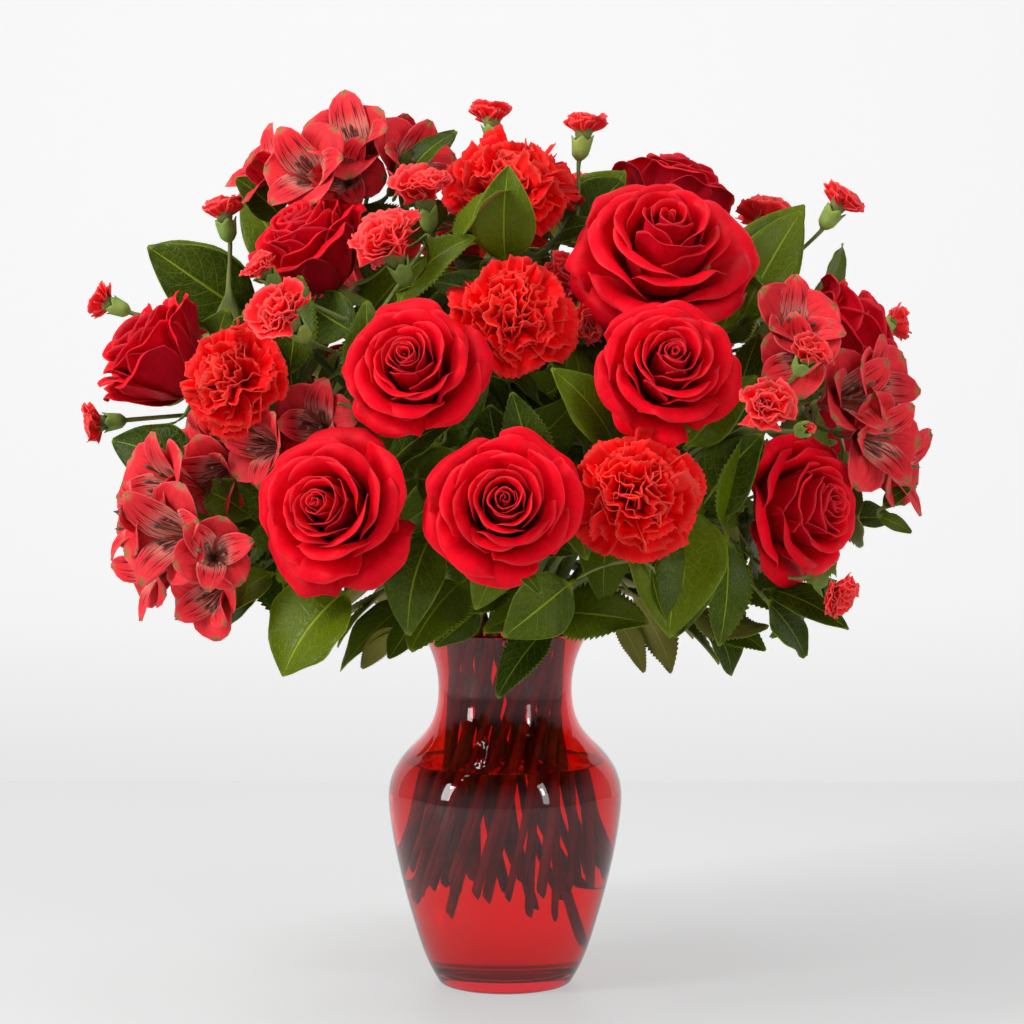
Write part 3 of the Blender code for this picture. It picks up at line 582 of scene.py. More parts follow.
# colours of a petal's foot, body and rim (the foot's colour is painted shade on the roses and carnations, the
# rim's a painted highlight), then rim width, rim strength, fibre, foot's reach, roughness, bump
petalLooks = {
    "roseFace": ((0.10, 0.0002, 0.002, 1), (0.88, 0.0010, 0.013, 1), (0.88, 0.050, 0.065, 1),
                 0.045, 0.36, 0.26, 0.72, 0.50, 0.00012),
    "roseBack": ((0.30, 0.002, 0.006, 1), (0.58, 0.002, 0.016, 1), (0.84, 0.06, 0.08, 1),
                 0.06, 0.42, 0.34, 0.55, 0.55, 0.00016),
    "carnationFace": ((0.30, 0.0006, 0.002, 1), (0.88, 0.002, 0.004, 1), (0.98, 0.075, 0.055, 1),
                      0.07, 0.42, 0.30, 0.62, 0.58, 0.00015),
    "carnationBack": ((0.66, 0.010, 0.010, 1), (0.94, 0.022, 0.018, 1), (1.00, 0.13, 0.09, 1),
                      0.08, 0.48, 0.36, 0.62, 0.60, 0.00015),
    "sprayFace": ((0.62, 0.008, 0.010, 1), (0.95, 0.018, 0.024, 1), (1.00, 0.19, 0.17, 1),
                  0.09, 0.50, 0.30, 0.55, 0.58, 0.00012),
}
petalValues = ("Deep", "Body", "Rim", "Rim Width", "Rim Strength", "Fibre", "Deep Reach", "Roughness")
roseFace, roseBack, carnationFace, carnationBack, sprayFace = [
    groupMaterial(name, petalTones, dict(zip(petalValues, look)), look[-1], velvet)
    for name, look in petalLooks.items()]
leafTop = groupMaterial("leafTop", leafVeins, {
    "Blade": (0.016, 0.040, 0.001, 1), "Light": (0.100, 0.145, 0.002, 1), "Vein": (0.28, 0.36, 0.018, 1),
    "Old": (0.13, 0.10, 0.010, 1), "Vein Strength": 0.80, "Roughness": 0.27}, 0.0010, waxy)
leafUnder = groupMaterial("leafUnder", leafVeins, {
    "Blade": (0.14, 0.135, 0.020, 1), "Light": (0.27, 0.255, 0.055, 1), "Vein": (0.40, 0.38, 0.12, 1),
    "Old": (0.20, 0.17, 0.07, 1), "Vein Strength": 0.5, "Roughness": 0.55}, 0.0003, waxy)


def tepalMaterial(name, body, pale, throat):
    # red tepals with dark nectar streaks, a cream throat or a dark keel, and a green tip
    material = groupMaterial(name, petalTones, {
        "Deep": pale, "Body": body, "Rim": (0.86, 0.16, 0.17, 1), "Rim Width": 0.10, "Rim Strength": 0.5,
        "Fibre": 0.75, "Deep Reach": 0.35, "Roughness": 0.46}, 0.00020, velvet)
    tree = material.node_tree
    shader = tree.nodes["Principled BSDF"]
    red = shader.inputs["Base Color"].links[0].from_socket
    sheet = sheetCoordinates(tree)
    inner = attribute(tree, "petalAge")
    long = stretchedIn(tree, sheet["uv"], (24.0, 3.2, 1.0))
    marks = noiseIn(tree, long, 1.0, 1.0)
    v = sheet["v"]
    middle = product(tree, ramped(tree, v, 0.22, 0.36), ramped(tree, v, 0.76, 0.92, 1.0, 0.0))
    cream = product(tree, ramped(tree, v, 0.78, 0.45, 0.0, 1.0), scaled(tree, inner, 0.66, 0.16))
    colour = mixedColour(tree, product(tree, cream, throat), red, (0.94, 0.48, 0.38, 1))
    streaks = product(tree, ramped(tree, marks, 0.555, 0.585), middle)
    streaks = product(tree, streaks, scaled(tree, inner, 0.62, 0.26))
    colour = mixedColour(tree, streaks, colour, (0.15, 0.003, 0.012, 1))
    keel = product(tree, ramped(tree, sheet["side"], 0.30, 0.0), less(tree, 1.0, throat))
    colour = mixedColour(tree, product(tree, keel, 0.65), colour, (0.13, 0.05, 0.02, 1))
    green = product(tree, ramped(tree, v, 0.90, 0.98), ramped(tree, sheet["side"], 0.75, 0.0))
    colour = mixedColour(tree, product(tree, green, 0.85), colour, (0.14, 0.20, 0.04, 1))
    tree.links.new(colour, shader.inputs["Base Color"])
    return material


tepalFace = tepalMaterial("tepalFace", (0.80, 0.030, 0.040, 1), (0.78, 0.22, 0.17, 1), 1.0)
tepalBack = tepalMaterial("tepalBack", (0.64, 0.016, 0.026, 1), (0.40, 0.02, 0.02, 1), 0.0)


def greenMaterial(name, dark, light, roughness, bloomDust):
    # a stem or calyx: mottled green with fine long fibres and a waxy bloom
    tree, given, out = newGroup(name + "Tones", {
        "Dark": dark, "Light": light, "Dust": bloomDust, "Roughness": roughness})
    place = objectPlace(tree)
    long = stretchedIn(tree, place, (900.0, 900.0, 60.0))
    fibres = noiseIn(tree, long, 1.0, 2.0)
    mottle = noiseIn(tree, place, 75.0, 4.0)
    colour = mixedColour(tree, ramped(tree, mottle, 0.3, 0.72), given["Dark"], given["Light"])
    colour = mixedColour(tree, product(tree, fibres, given["Dust"]), colour, (0.32, 0.42, 0.26, 1))
    tree.links.new(colour, out["Color"])
    tree.links.new(scaled(tree, mottle, 0.2, given["Roughness"]), out["Roughness"])
    tree.links.new(fibres, out["Height"])
    return groupMaterial(name, tree, {}, 0.0002, waxy)


stemGreen = greenMaterial("stemGreen", (0.085, 0.120, 0.014, 1), (0.21, 0.24, 0.050, 1), 0.42, 0.22)
calyxGreen = greenMaterial("calyxGreen", (0.15, 0.27, 0.025, 1), (0.33, 0.44, 0.060, 1), 0.45, 0.30)
antherDust = greenMaterial("antherDust", (0.10, 0.035, 0.035, 1), (0.22, 0.14, 0.09, 1), 0.75, 0.1)


def glassMaterial(name, tint, ior, roughness, shadowPass):
    # clear body whose colour deepens a little towards the thick foot, with faint waves and wiping marks
    material, tree, shader = newMaterial(name)
    place = objectPlace(tree)
    split = nodeIn(tree, "ShaderNodeSeparateXYZ", {0: place}).outputs
    deeper = tuple(channel * share for channel, share in zip(tint, (0.80, 0.6, 0.6))) + (1.0,)
    slanted = tuple(channel ** 2.2 for channel in tint) + (1.0,)
    swirl = noiseIn(tree, place, 22.0, 2.0)
    level = scaled(tree, swirl, 0.02, split[2])
    colour = mixedColour(tree, ramped(tree, level, 0.0, 0.06, 1.0, 0.0), (*tint, 1.0), deeper)
    slant = nodeIn(tree, "ShaderNodeLayerWeight", {"Blend": 0.5}).outputs["Facing"]
    colour = mixedColour(tree, ramped(tree, slant, 0.45, 0.98), colour, slanted)
    # painted shade: darker rings where the thick foot bends the light, and a dark line along the bottom edge
    high = split[2]
    ring = product(tree, ramped(tree, high, 0.0088, 0.0104), ramped(tree, high, 0.0112, 0.0134, 1.0, 0.0))
    ring = arithmetic(tree, "MAXIMUM", ring, ramped(tree, high, 0.0004, 0.0022, 1.0, 0.0))
    colour = mixedColour(tree, product(tree, ring, 0.66), colour, (0.16, 0.002, 0.006, 1.0))
    shadowRay = nodeIn(tree, "ShaderNodeLightPath").outputs["Is Shadow Ray"]
    tree.links.new(scaled(tree, shadowRay, shadowPass - 1.0, 1.0), shader.inputs["Alpha"])
    marks = noiseIn(tree, place, 160.0, 5.0)
    waves = nodeIn(tree, "ShaderNodeBump", {"Height": swirl, "Distance": 0.0006, "Strength": 0.25}).outputs[0]
    tree.links.new(colour, shader.inputs["Base Color"])
    tree.links.new(ramped(tree, marks, 0.55, 0.8, roughness, roughness + 0.03), shader.inputs["Roughness"])
    tree.links.new(waves, shader.inputs["Normal"])
    shader.inputs["IOR"].default_value = ior
    shader.inputs["Metallic"].default_value = 0.0
    shader.inputs["Transmission Weight"].default_value = 1.0
    return material


# tints, then the index of refraction across each surface
vaseGlass = {"tint": (0.84, 0.022, 0.042), "clear": (0.98, 0.99, 0.99),
             "glass": 1.5, "glassToWater": 1.128, "waterTop": 1.333, "waterSide": 1.0}
redGlass = glassMaterial("redGlass", vaseGlass["tint"], vaseGlass["glass"], 0.012, 0.26)
wetGlass = glassMaterial("wetGlass", vaseGlass["tint"], vaseGlass["glassToWater"], 0.0, 0.26)
waterTop = glassMaterial("waterTop", vaseGlass["clear"], vaseGlass["waterTop"], 0.0, 0.1)
waterSide = glassMaterial("waterSide", vaseGlass["clear"], vaseGlass["waterSide"], 0.0, 0.1)
print("materials made")


# more shaped parts: cups, rods and the plants' own stems
cup = {"across": 20, "along": 6, "teeth": 5, "thickness": 0.0005}


def makeCup(name, blank, base, facing, radius, length, flare, random):
    # a carnation's calyx: a ribbed cup closed at the foot, with five pointed teeth
    u, v = blank["u"], blank["v"]
    turn = u * math.pi
    tooth = np.abs(((turn * cup["teeth"] / math.tau) % 1.0) - 0.5) * 2
    reach = v * (0.80 + 0.20 * tooth)
    away = radius * (smooth(v, 0.0, 0.28) * 0.84 + 0.16 * smooth(v, 0.2, 0.8)
                     + flare * v ** 5 * (0.4 + 0.6 * tooth))
    away = away * (1 + 0.035 * np.cos(2 * cup["teeth"] * turn) * smooth(v, 0.1, 0.4))
    own = np.column_stack([away * np.cos(turn), away * np.sin(turn), reach * length])
    axes = facingAxes(facing, random.uniform(0, math.tau))
    piece = sheetCopy(blank, own @ axes + base, 0.0, random.uniform())
    closeSeams(piece)
    piece.name = name
    applyModifier(piece, "SOLIDIFY", thickness=cup["thickness"], offset=-1.0)
    piece.data.shade_smooth()
    return piece


def closeSeams(thing):
    selectOnly(thing)
    bpy.ops.object.mode_set(mode="EDIT")
    bpy.ops.mesh.select_all(action="SELECT")
    bpy.ops.mesh.remove_doubles(threshold=0.000004)
    bpy.ops.mesh.normals_make_consistent(inside=False)
    bpy.ops.object.mode_set(mode="OBJECT")
    thing.select_set(False)


def makeRod(blank, points, radii):
    # a round rod along the points, closed at both ends
    u, v = blank["u"], blank["v"]
    points = np.asarray(points, dtype=float)
    steps = np.linspace(0.0, 1.0, len(points))
    middle = np.column_stack([np.interp(v, steps, points[:, k]) for k in range(3)])
    ahead = np.gradient(points, axis=0)
    ahead = np.column_stack([np.interp(v, steps, ahead[:, k]) for k in range(3)])
    ahead /= np.linalg.norm(ahead, axis=1, keepdims=True)
    chord = points[-1] - points[0]
    side = unit(np.cross(chord, (0.31, 0.22, 0.93) if abs(unit(chord)[2]) < 0.9 else (1.0, 0.1, 0.0)))
    first = side - ahead * (ahead @ side)[:, None]
    first /= np.linalg.norm(first, axis=1, keepdims=True)
    second = np.cross(ahead, first)
    radius = np.interp(v, steps, radii) * np.where((v < 0.001) | (v > 0.999), 0.0, 1.0)
    turn = u * math.pi
    across, above = (radius * np.cos(turn))[:, None], (radius * np.sin(turn))[:, None]
    piece = sheetCopy(blank, middle + first * across + second * above)
    closeSeams(piece)
    piece.data.shade_smooth()
    return piece


def curveBetween(start, startPull, endPull, end, count=8):
    t = np.linspace(0, 1, count)[:, None]
    return ((1 - t) ** 3 * start + 3 * t * (1 - t) ** 2 * startPull
            + 3 * t ** 2 * (1 - t) * endPull + t ** 3 * end)


def roundedCopy(name, node, fatten, levels, material, reshape=None):
    # the CAD node's stems as a smooth mesh: merged, reshaped if asked, fattened for the rounding, subdivided
    piece = bpy.data.objects.new(name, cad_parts[node].data.copy())
    bpy.context.collection.objects.link(piece)
    piece.data.materials.clear()
    piece.data.materials.append(material)
    bpy.context.view_layer.objects.active = piece
    piece.select_set(True)
    bpy.ops.object.mode_set(mode="EDIT")
    bpy.ops.mesh.select_all(action="SELECT")
    bpy.ops.mesh.customdata_custom_splitnormals_clear()
    bpy.ops.mesh.remove_doubles(threshold=0.00002)
    bpy.ops.mesh.tris_convert_to_quads()
    bpy.ops.object.mode_set(mode="OBJECT")
    piece.select_set(False)
    places = vertexPlaces(piece)
    if reshape:
        places = reshape(places)
    setPlaces(piece, places)
    normals = np.empty(len(places) * 3)
    piece.data.vertices.foreach_get("normal", normals)
    setPlaces(piece, places + normals.reshape(-1, 3) * fatten)
    # the cut foot stays crisp
    crease = piece.data.attributes.new("crease_edge", "FLOAT", "EDGE")
    ends = np.empty(len(piece.data.edges) * 2, dtype=int)
    piece.data.edges.foreach_get("vertices", ends)
    low = places[ends.reshape(-1, 2)][:, :, 2].max(axis=1) < stem["footBelow"]
    crease.data.foreach_set("value", (low * 0.9).astype(np.float32))
    applyModifier(piece, "SUBSURF", levels=levels, render_levels=levels)
    piece.data.shade_smooth()
    return piece


# the feet are the places below footBelow; roundingFat makes up for what rounding takes
stem = {"footBelow": 0.15, "sepals": 5, "sepalLength": 0.026, "sepalWidth": 0.0062,
        "sepalThickness": 0.0005, "roundingFat": 0.00042}


# places of the flowers, read from the CAD model
def bloomPlace(label):
    # base, facing, width and height of a bloom: it is round about its axis, and its stem meets its base
    places = np.unique(np.round(vertexPlaces(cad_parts[label + "_bloom"]), 5), axis=0)
    stalk = vertexPlaces(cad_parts[label + "_stem"])
    middle = places.mean(axis=0)
    spans, directions = np.linalg.eigh(np.cov((places - middle).T))
    odd = 0 if spans[1] - spans[0] > spans[2] - spans[1] else 2
    axis = directions[:, odd]
    nearest = stalk[np.argsort(np.linalg.norm(stalk - middle, axis=1))[:6]].mean(axis=0)
    if (middle - nearest) @ axis < 0:
        axis = -axis
    along = (places - middle) @ axis
    out = np.linalg.norm(places - middle - np.outer(along, axis), axis=1)
    return {"base": middle + axis * along.min(), "facing": axis, "width": 2 * out.max() / solidShare,
            "height": (along.max() - along.min()) / solidShare}


solidShare = 0.97   # the CAD heads are this much smaller than the real ones

# the heads of each spray: middle, facing and width
sprayCarnations = [
    [((-0.110, -0.131, 0.372), (-0.45, -0.75, 0.50), 0.037),
     ((-0.058, -0.090, 0.407), (-0.35, -0.50, 0.80), 0.040),
     ((-0.043, -0.052, 0.437), (-0.15, -0.45, 0.88), 0.035),
     ((-0.126, -0.082, 0.398), (-0.60, -0.40, 0.70), 0.021)],
    [((0.031, -0.053, 0.391), (0.10, -0.90, 0.42), 0.034),
     ((0.043, -0.084, 0.370), (0.15, -0.95, 0.20), 0.022),
     ((-0.007, 0.012, 0.483), (-0.12, 0.05, 0.99), 0.026),
     ((0.043, -0.012, 0.475), (0.15, -0.05, 0.98), 0.025)],
    [((0.130, -0.166, 0.328), (0.10, -0.95, 0.30), 0.030),
     ((0.153, -0.150, 0.353), (0.35, -0.65, 0.66), 0.023),
     ((0.152, -0.158, 0.318), (0.45, -0.88, 0.15), 0.016),
     ((0.169, -0.123, 0.234), (0.60, -0.68, -0.40), 0.024)],
    [((0.185, 0.004, 0.436), (0.55, -0.10, 0.83), 0.025),
     ((0.150, 0.052, 0.424), (0.15, 0.40, 0.90), 0.036),
     ((0.221, 0.048, 0.372), (0.90, 0.38, 0.25), 0.022)],
    [((-0.221, 0.010, 0.383), (-0.92, 0.10, 0.38), 0.022),
     ((-0.221, -0.020, 0.318), (-0.95, -0.20, -0.10), 0.023),
     ((-0.157, 0.005, 0.430), (-0.20, -0.05, 0.97), 0.024),
     ((-0.170, 0.062, 0.360), (-0.72, 0.65, 0.25), 0.034)],
    [((0.082, 0.132, 0.394), (0.30, 0.80, 0.52), 0.040),
     ((0.030, 0.150, 0.380), (0.05, 0.96, 0.28), 0.036),
     ((0.048, 0.100, 0.442), (0.05, 0.40, 0.92), 0.034),
     ((0.124, 0.118, 0.368), (0.65, 0.70, 0.30), 0.026)],
]
# the florets of each umbel, likewise
alstroemerias = [
    [((-0.082, 0.000, 0.466), (-0.25, -0.75, 0.60), 0.048),
     ((-0.126, 0.010, 0.453), (-0.75, -0.35, 0.56), 0.040),
     ((-0.060, 0.036, 0.466), (0.15, 0.55, 0.82), 0.036)],
    [((-0.170, -0.100, 0.285), (-0.78, -0.60, 0.18), 0.044),
     ((-0.178, -0.094, 0.244), (-0.86, -0.45, -0.25), 0.042),
     ((-0.146, -0.126, 0.235), (-0.50, -0.80, -0.30), 0.040)],
    [((-0.096, -0.105, 0.318), (-0.35, -0.92, 0.15), 0.038),
     ((-0.150, -0.066, 0.303), (-0.86, -0.45, 0.05), 0.040)],
    [((0.150, -0.100, 0.365), (0.25, -0.80, 0.55), 0.042),
     ((0.187, -0.078, 0.338), (0.80, -0.58, 0.15), 0.046),
     ((0.203, -0.040, 0.297), (0.90, -0.40, -0.12), 0.046)],
    [((-0.072, 0.105, 0.404), (-0.35, 0.70, 0.62), 0.046),
     ((-0.108, 0.088, 0.385), (-0.72, 0.55, 0.42), 0.044),
     ((-0.044, 0.135, 0.376), (-0.15, 0.95, 0.28), 0.042)],
]
# each lemon-leaf branch's leaves: base, tip, width and the way the leaf's face looks
lemonLeaves = [
    [((-0.079, -0.140, 0.236), (-0.114, -0.152, 0.192), 0.044, (-0.5, -0.8, 0.4)),
     ((-0.128, -0.096, 0.243), (-0.150, -0.098, 0.206), 0.030, (-0.7, -0.6, 0.4))],
    [((-0.140, 0.034, 0.382), (-0.203, 0.036, 0.418), 0.036, (-0.4, -0.7, 0.6)),
     ((-0.118, 0.046, 0.398), (-0.152, 0.050, 0.448), 0.034, (-0.4, -0.6, 0.7)),
     ((-0.120, 0.062, 0.362), (-0.172, 0.096, 0.376), 0.036, (-0.3, 0.4, 0.9))],
    [((0.001, -0.066, 0.402), (0.002, -0.078, 0.456), 0.034, (0.0, -0.9, 0.2)),
     ((0.044, 0.030, 0.430), (0.068, 0.012, 0.458), 0.032, (0.3, -0.7, 0.6)),
     ((-0.058, 0.030, 0.436), (-0.028, 0.006, 0.481), 0.030, (-0.2, -0.8, 0.5)),
     ((0.030, 0.060, 0.418), (0.050, 0.074, 0.454), 0.032, (0.2, 0.7, 0.6))],
    [((0.130, -0.012, 0.372), (0.166, -0.004, 0.436), 0.036, (0.3, -0.8, 0.5)),
     ((0.176, 0.050, 0.388), (0.196, 0.062, 0.420), 0.028, (0.6, 0.2, 0.7)),
     ((0.128, 0.086, 0.362), (0.160, 0.108, 0.402), 0.034, (0.5, 0.6, 0.6))],
    [((0.096, -0.130, 0.262), (0.088, -0.150, 0.212), 0.034, (0.2, -0.9, 0.3)),
     ((0.136, -0.106, 0.228), (0.160, -0.100, 0.196), 0.032, (0.6, -0.6, 0.5)),
     ((0.105, -0.060, 0.220), (0.124, -0.064, 0.182), 0.030, (0.5, -0.6, 0.6))],
    [((-0.080, 0.146, 0.250), (-0.098, 0.176, 0.208), 0.042, (-0.3, 0.8, 0.5)),
     ((-0.128, 0.104, 0.250), (-0.166, 0.124, 0.216), 0.038, (-0.7, 0.5, 0.5)),
     ((-0.040, 0.128, 0.312), (-0.046, 0.182, 0.330), 0.036, (-0.2, -0.3, 0.9))],
    [((0.100, 0.140, 0.252), (0.122, 0.166, 0.206), 0.042, (0.4, 0.8, 0.4)),
     ((0.150, 0.060, 0.248), (0.196, 0.076, 0.226), 0.038, (0.6, 0.3, 0.7)),
     ((0.152, 0.092, 0.272), (0.172, 0.132, 0.296), 0.036, (0.3, 0.6, 0.7)),
     ((0.180, 0.020, 0.258), (0.222, 0.006, 0.262), 0.030, (0.3, -0.5, 0.8))],
]
stubGirth = 0.0012
sprayHead = {
    "slimness": 1.05, "budUpTo": 0.017, "fullWidth": 0.040,   # metres across, a bud and a full flower
    "petals": (15, 26), "lean": (21, 70), "mouth": 0.34, "stretch": (0.6, 1.5), "stub": 0.2, "reach": 0.55,
    "calyxRadius": 0.0047, "calyxGrowth": 0.0008, "calyxFlare": 0.22, "roundingFat": 0.0003,
    "bud": {"petals": 7, "lean": 12, "mouth": 0.45, "width": 0.34, "calyxLength": 0.88, "calyxFlare": -0.4},
}
floretHead = {"slimness": 0.95, "ovaryLength": 0.0075, "spread": 1.20, "stretch": (0.7, 1.25), "stub": 0.1,
              "reach": 0.74, "umbelDrop": 0.012, "stalk": 0.0012}
calyx = {"below": 0.024, "radius": 0.0074, "length": 0.032, "flare": 0.25}
# florets that close up each umbel among the CAD ones: middle, facing, width
moreFlorets = [
    [((-0.104, -0.014, 0.452), (-0.40, -0.85, 0.35), 0.046),
     ((-0.056, -0.004, 0.456), (0.45, -0.75, 0.50), 0.046),
     ((-0.088, -0.004, 0.452), (-0.10, -0.85, 0.20), 0.036)],
    [((-0.166, -0.122, 0.262), (-0.55, -0.80, 0.05), 0.046),
     ((-0.150, -0.138, 0.252), (0.10, -0.95, 0.20), 0.038),
     ((-0.184, -0.110, 0.268), (-0.95, -0.30, 0.10), 0.036)],
    [((-0.118, -0.108, 0.308), (-0.60, -0.75, 0.10), 0.040),
     ((-0.146, -0.088, 0.296), (-0.45, -0.75, -0.30), 0.042)],
    [((0.176, -0.092, 0.332), (0.55, -0.80, 0.20), 0.046),
     ((0.190, -0.082, 0.312), (0.60, -0.75, -0.10), 0.044),
     ((0.158, -0.106, 0.352), (-0.40, -0.88, 0.30), 0.036)],
    [((-0.090, 0.100, 0.396), (-0.50, 0.62, 0.60), 0.040)],
]


def headPlace(middle, facing, width, slimness):
    facing = unit(facing)
    height = width * slimness
    return {"base": np.array(middle) - facing * height * solidShare / 2, "facing": facing, "width": width,
            "height": height, "middle": np.array(middle)}


def drawnIn(places, head, keep, reach):
    # a CAD head is drawn in to a short stub on its stem, where the finer flower begins
    base, axis = head["base"], head["facing"]
    along = (places - base) @ axis
    radial = places - base - np.outer(along, axis)
    size = np.linalg.norm(radial, axis=1) + 1e-9
    near = ((along > -0.0004) & (size < 0.50 * head["width"])
            & (np.linalg.norm(places - head["middle"], axis=1) < reach * head["width"]))
    slim = radial[near] * np.minimum(1.0, stubGirth / size[near])[:, None]
    places[near] = base + np.outer(np.minimum(along[near], keep), axis) + slim
    return places


def drawnInBlade(places, base, tip, width, face):
    # a CAD leaf's blade is drawn in to the start of its stalk, where the finer leaf begins
    base, tip = np.array(base), np.array(tip)
    length = np.linalg.norm(tip - base)
    ahead = unit(tip - base)
    side = unit(np.cross(ahead, face))
    normal = np.cross(side, ahead)
    offset = places - base
    along, across, above = offset @ ahead, offset @ side, offset @ normal
    blade = ((along > 0.10 * length) & (along < 1.12 * length) & (np.abs(across) < width * 0.56)
             & (np.abs(above) < 0.35 * width))
    across, above = np.clip(across[blade], -0.0006, 0.0006), np.clip(above[blade], -0.0006, 0.0006)
    places[blade] = (base + np.outer(np.clip(along[blade], 0, 0.12 * length), ahead) + np.outer(across, side)
                     + np.outer(above, normal))
    return places


def finished(piece, slot, *nodes):
    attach(piece, "root")
    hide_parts(*nodes)


# the vase and its water
vase = {
    "outline": [(0.0370, 0.0000), (0.0415, 0.0076), (0.0505, 0.0310), (0.0600, 0.0660), (0.0653, 0.0960),
                (0.0652, 0.1140), (0.0580, 0.1288), (0.0430, 0.1455), (0.0378, 0.1650), (0.0412, 0.1870),
                (0.0475, 0.2000)],
    "wall": 0.0035, "floor": 0.009, "bend": 0.0165, "lip": 0.0012,
    "segments": 112, "steps": 6, "waterLevel": 0.126, "waterGap": 0.0009,
}


def smoothOutline(points, steps):
    # a cubic spline through the points, with even curvature so that the glass shows no bends
    points = np.asarray(points, dtype=float)
    gaps = np.linalg.norm(np.diff(points, axis=0), axis=1)
    along = np.concatenate([[0], np.cumsum(gaps)])
    matrix = np.eye(len(points))
    slopes = np.zeros_like(points)
    for i in range(1, len(points) - 1):
        matrix[i, i - 1:i + 2] = gaps[i - 1], 2 * (gaps[i - 1] + gaps[i]), gaps[i]
        slopes[i] = 6 * ((points[i + 1] - points[i]) / gaps[i] - (points[i] - points[i - 1]) / gaps[i - 1])
    bends = np.linalg.solve(matrix, slopes)
    curve = [points[0]]
    for i, gap in enumerate(gaps):
        for t in np.linspace(0, 1, steps + 1)[1:]:
            first, second = 1 - t, t
            curve.append(first * points[i] + second * points[i + 1] + gap ** 2 / 6 * (
                (first ** 3 - first) * bends[i] + (second ** 3 - second) * bends[i + 1]))
    return np.array(curve)


def turnedPiece(name, profile, segments, materials):
    # a sheet wrapped about the vase's axis, its seam and poles closed
    profile = np.asarray(profile)
    blank = blankSheet(name, segments, len(profile) - 1, *materials)
    row = np.round(blank["v"] * (len(profile) - 1)).astype(int)
    turn = blank["u"] * math.pi
    radius, height = profile[row].T
    piece = blank["sheet"]
    setPlaces(piece, np.column_stack([radius * np.cos(turn), radius * np.sin(turn), height]))
    closeSeams(piece)
    piece.data.shade_smooth()
    return piece


def paintFaces(thing, rule):
    # gives each face the material whose number the rule returns for its centre and normal
    for face in thing.data.polygons:
        face.material_index = rule(face.center, face.normal)


wall, level, gap, bend = vase["wall"], vase["waterLevel"], vase["waterGap"], vase["bend"]
floorTop = vase["floor"]
outside = smoothOutline(vase["outline"], vase["steps"])


def radiusAt(height):
    return float(np.interp(height, outside[:, 1], outside[:, 0]))


wallOutline = np.array([(radius - wall, height) for radius, height in outside if height > bend])
footRadius = radiusAt(floorTop) - wall - 0.006
innerFoot = np.array([(0.0, floorTop), (footRadius * 0.55, floorTop - 0.0004),
                      (footRadius, floorTop + 0.0002), (footRadius + 0.0035, floorTop + 0.0022),
                      (radiusAt(bend) - wall, bend)])
inside = np.vstack([innerFoot[:1], smoothOutline(innerFoot[1:], 3), wallOutline])
rimOut, rimHeight = outside[-1]
lip = [(rimOut - wall / 2 - wall / 2 * math.cos(angle), rimHeight + vase["lip"] * math.sin(angle))
       for angle in np.linspace(0.15, 0.95, 7) * math.pi]
under = [(0.0368, 0.0005), (0.0350, 0.0), (0.0320, 0.0004), (0.0270, 0.0022), (0.0160, 0.0030), (0.0, 0.0032)]
belowWater = inside[inside[:, 1] < level]
aboveWater = inside[inside[:, 1] >= level + 0.0008]
levelRadius = float(np.interp(level, inside[4:, 1], inside[4:, 0]))
splitInside = np.vstack([belowWater, [(levelRadius, level)], aboveWater])
vasePiece = turnedPiece("glass_vase", np.vstack([splitInside, lip, outside[::-1][1:-1], under]),
                        vase["segments"], (redGlass, wetGlass))


def vaseWall(centre, normal):
    wet = centre.z < level and centre.z > floorTop - 0.002
    return int(wet and math.hypot(centre.x, centre.y) < radiusAt(centre.z) - wall * 0.6)


paintFaces(vasePiece, vaseWall)
waterSides = [(max(radius - gap, 0.0), height + gap) for radius, height in belowWater
              if height < level - 2 * gap]
levelIn = levelRadius - gap
meniscus = [(levelIn, level + 0.0002), (levelIn - 0.0012, level - 0.0008), (levelIn - 0.0035, level - 0.0012),
            (0.0, level - 0.0012)]
waterPiece = turnedPiece("vase_water", np.vstack([waterSides, meniscus]), vase["segments"],
                         (waterSide, waterTop))
paintFaces(waterPiece, lambda centre, normal: int(centre.z > level - 0.0014 and normal.z > 0.3))
finished(vasePiece, "red_glass", "vase")
finished(waterPiece, "water", "water")
print("vase and water made")

# blank sheets
roseBlank = blankSheet("roseBlank", rose["across"], rose["along"], roseBack, roseFace)
carnationBlank = blankSheet("carnationBlank", carnation["across"], carnation["along"],
                            carnationBack, carnationFace)
sprayBlank = blankSheet("sprayBlank", 16, 7, sprayFace, sprayFace)
tepalBlank = blankSheet("tepalBlank", alstroemeria["across"], alstroemeria["along"], tepalBack, tepalFace)
leafBlanks = {"lemon": blankSheet("leafBlank", leaf["across"], leaf["along"], leafTop, leafUnder),
              "rose": blankSheet("roseLeafBlank", 8, leaf["serratedAlong"], leafTop, leafUnder)}
sepalBlank = blankSheet("sepalBlank", 4, 9, calyxGreen, calyxGreen)
cupBlank = blankSheet("cupBlank", cup["across"], cup["along"], calyxGreen)
rodBlank = blankSheet("rodBlank", 8, 10, stemGreen)
thinRodBlank = blankSheet("thinRodBlank", 5, 7, antherDust)
blanks = [roseBlank, carnationBlank, sprayBlank, tepalBlank, *leafBlanks.values(), sepalBlank, cupBlank,
          rodBlank, thinRodBlank]


# roses: how far each has opened
roseOpenness = (0.74, 0.80, 1.00, 0.82, 0.80, 0.40, 0.42, 0.72, 0.50, 0.45, 0.70, 0.80, 0.75)
balls = []


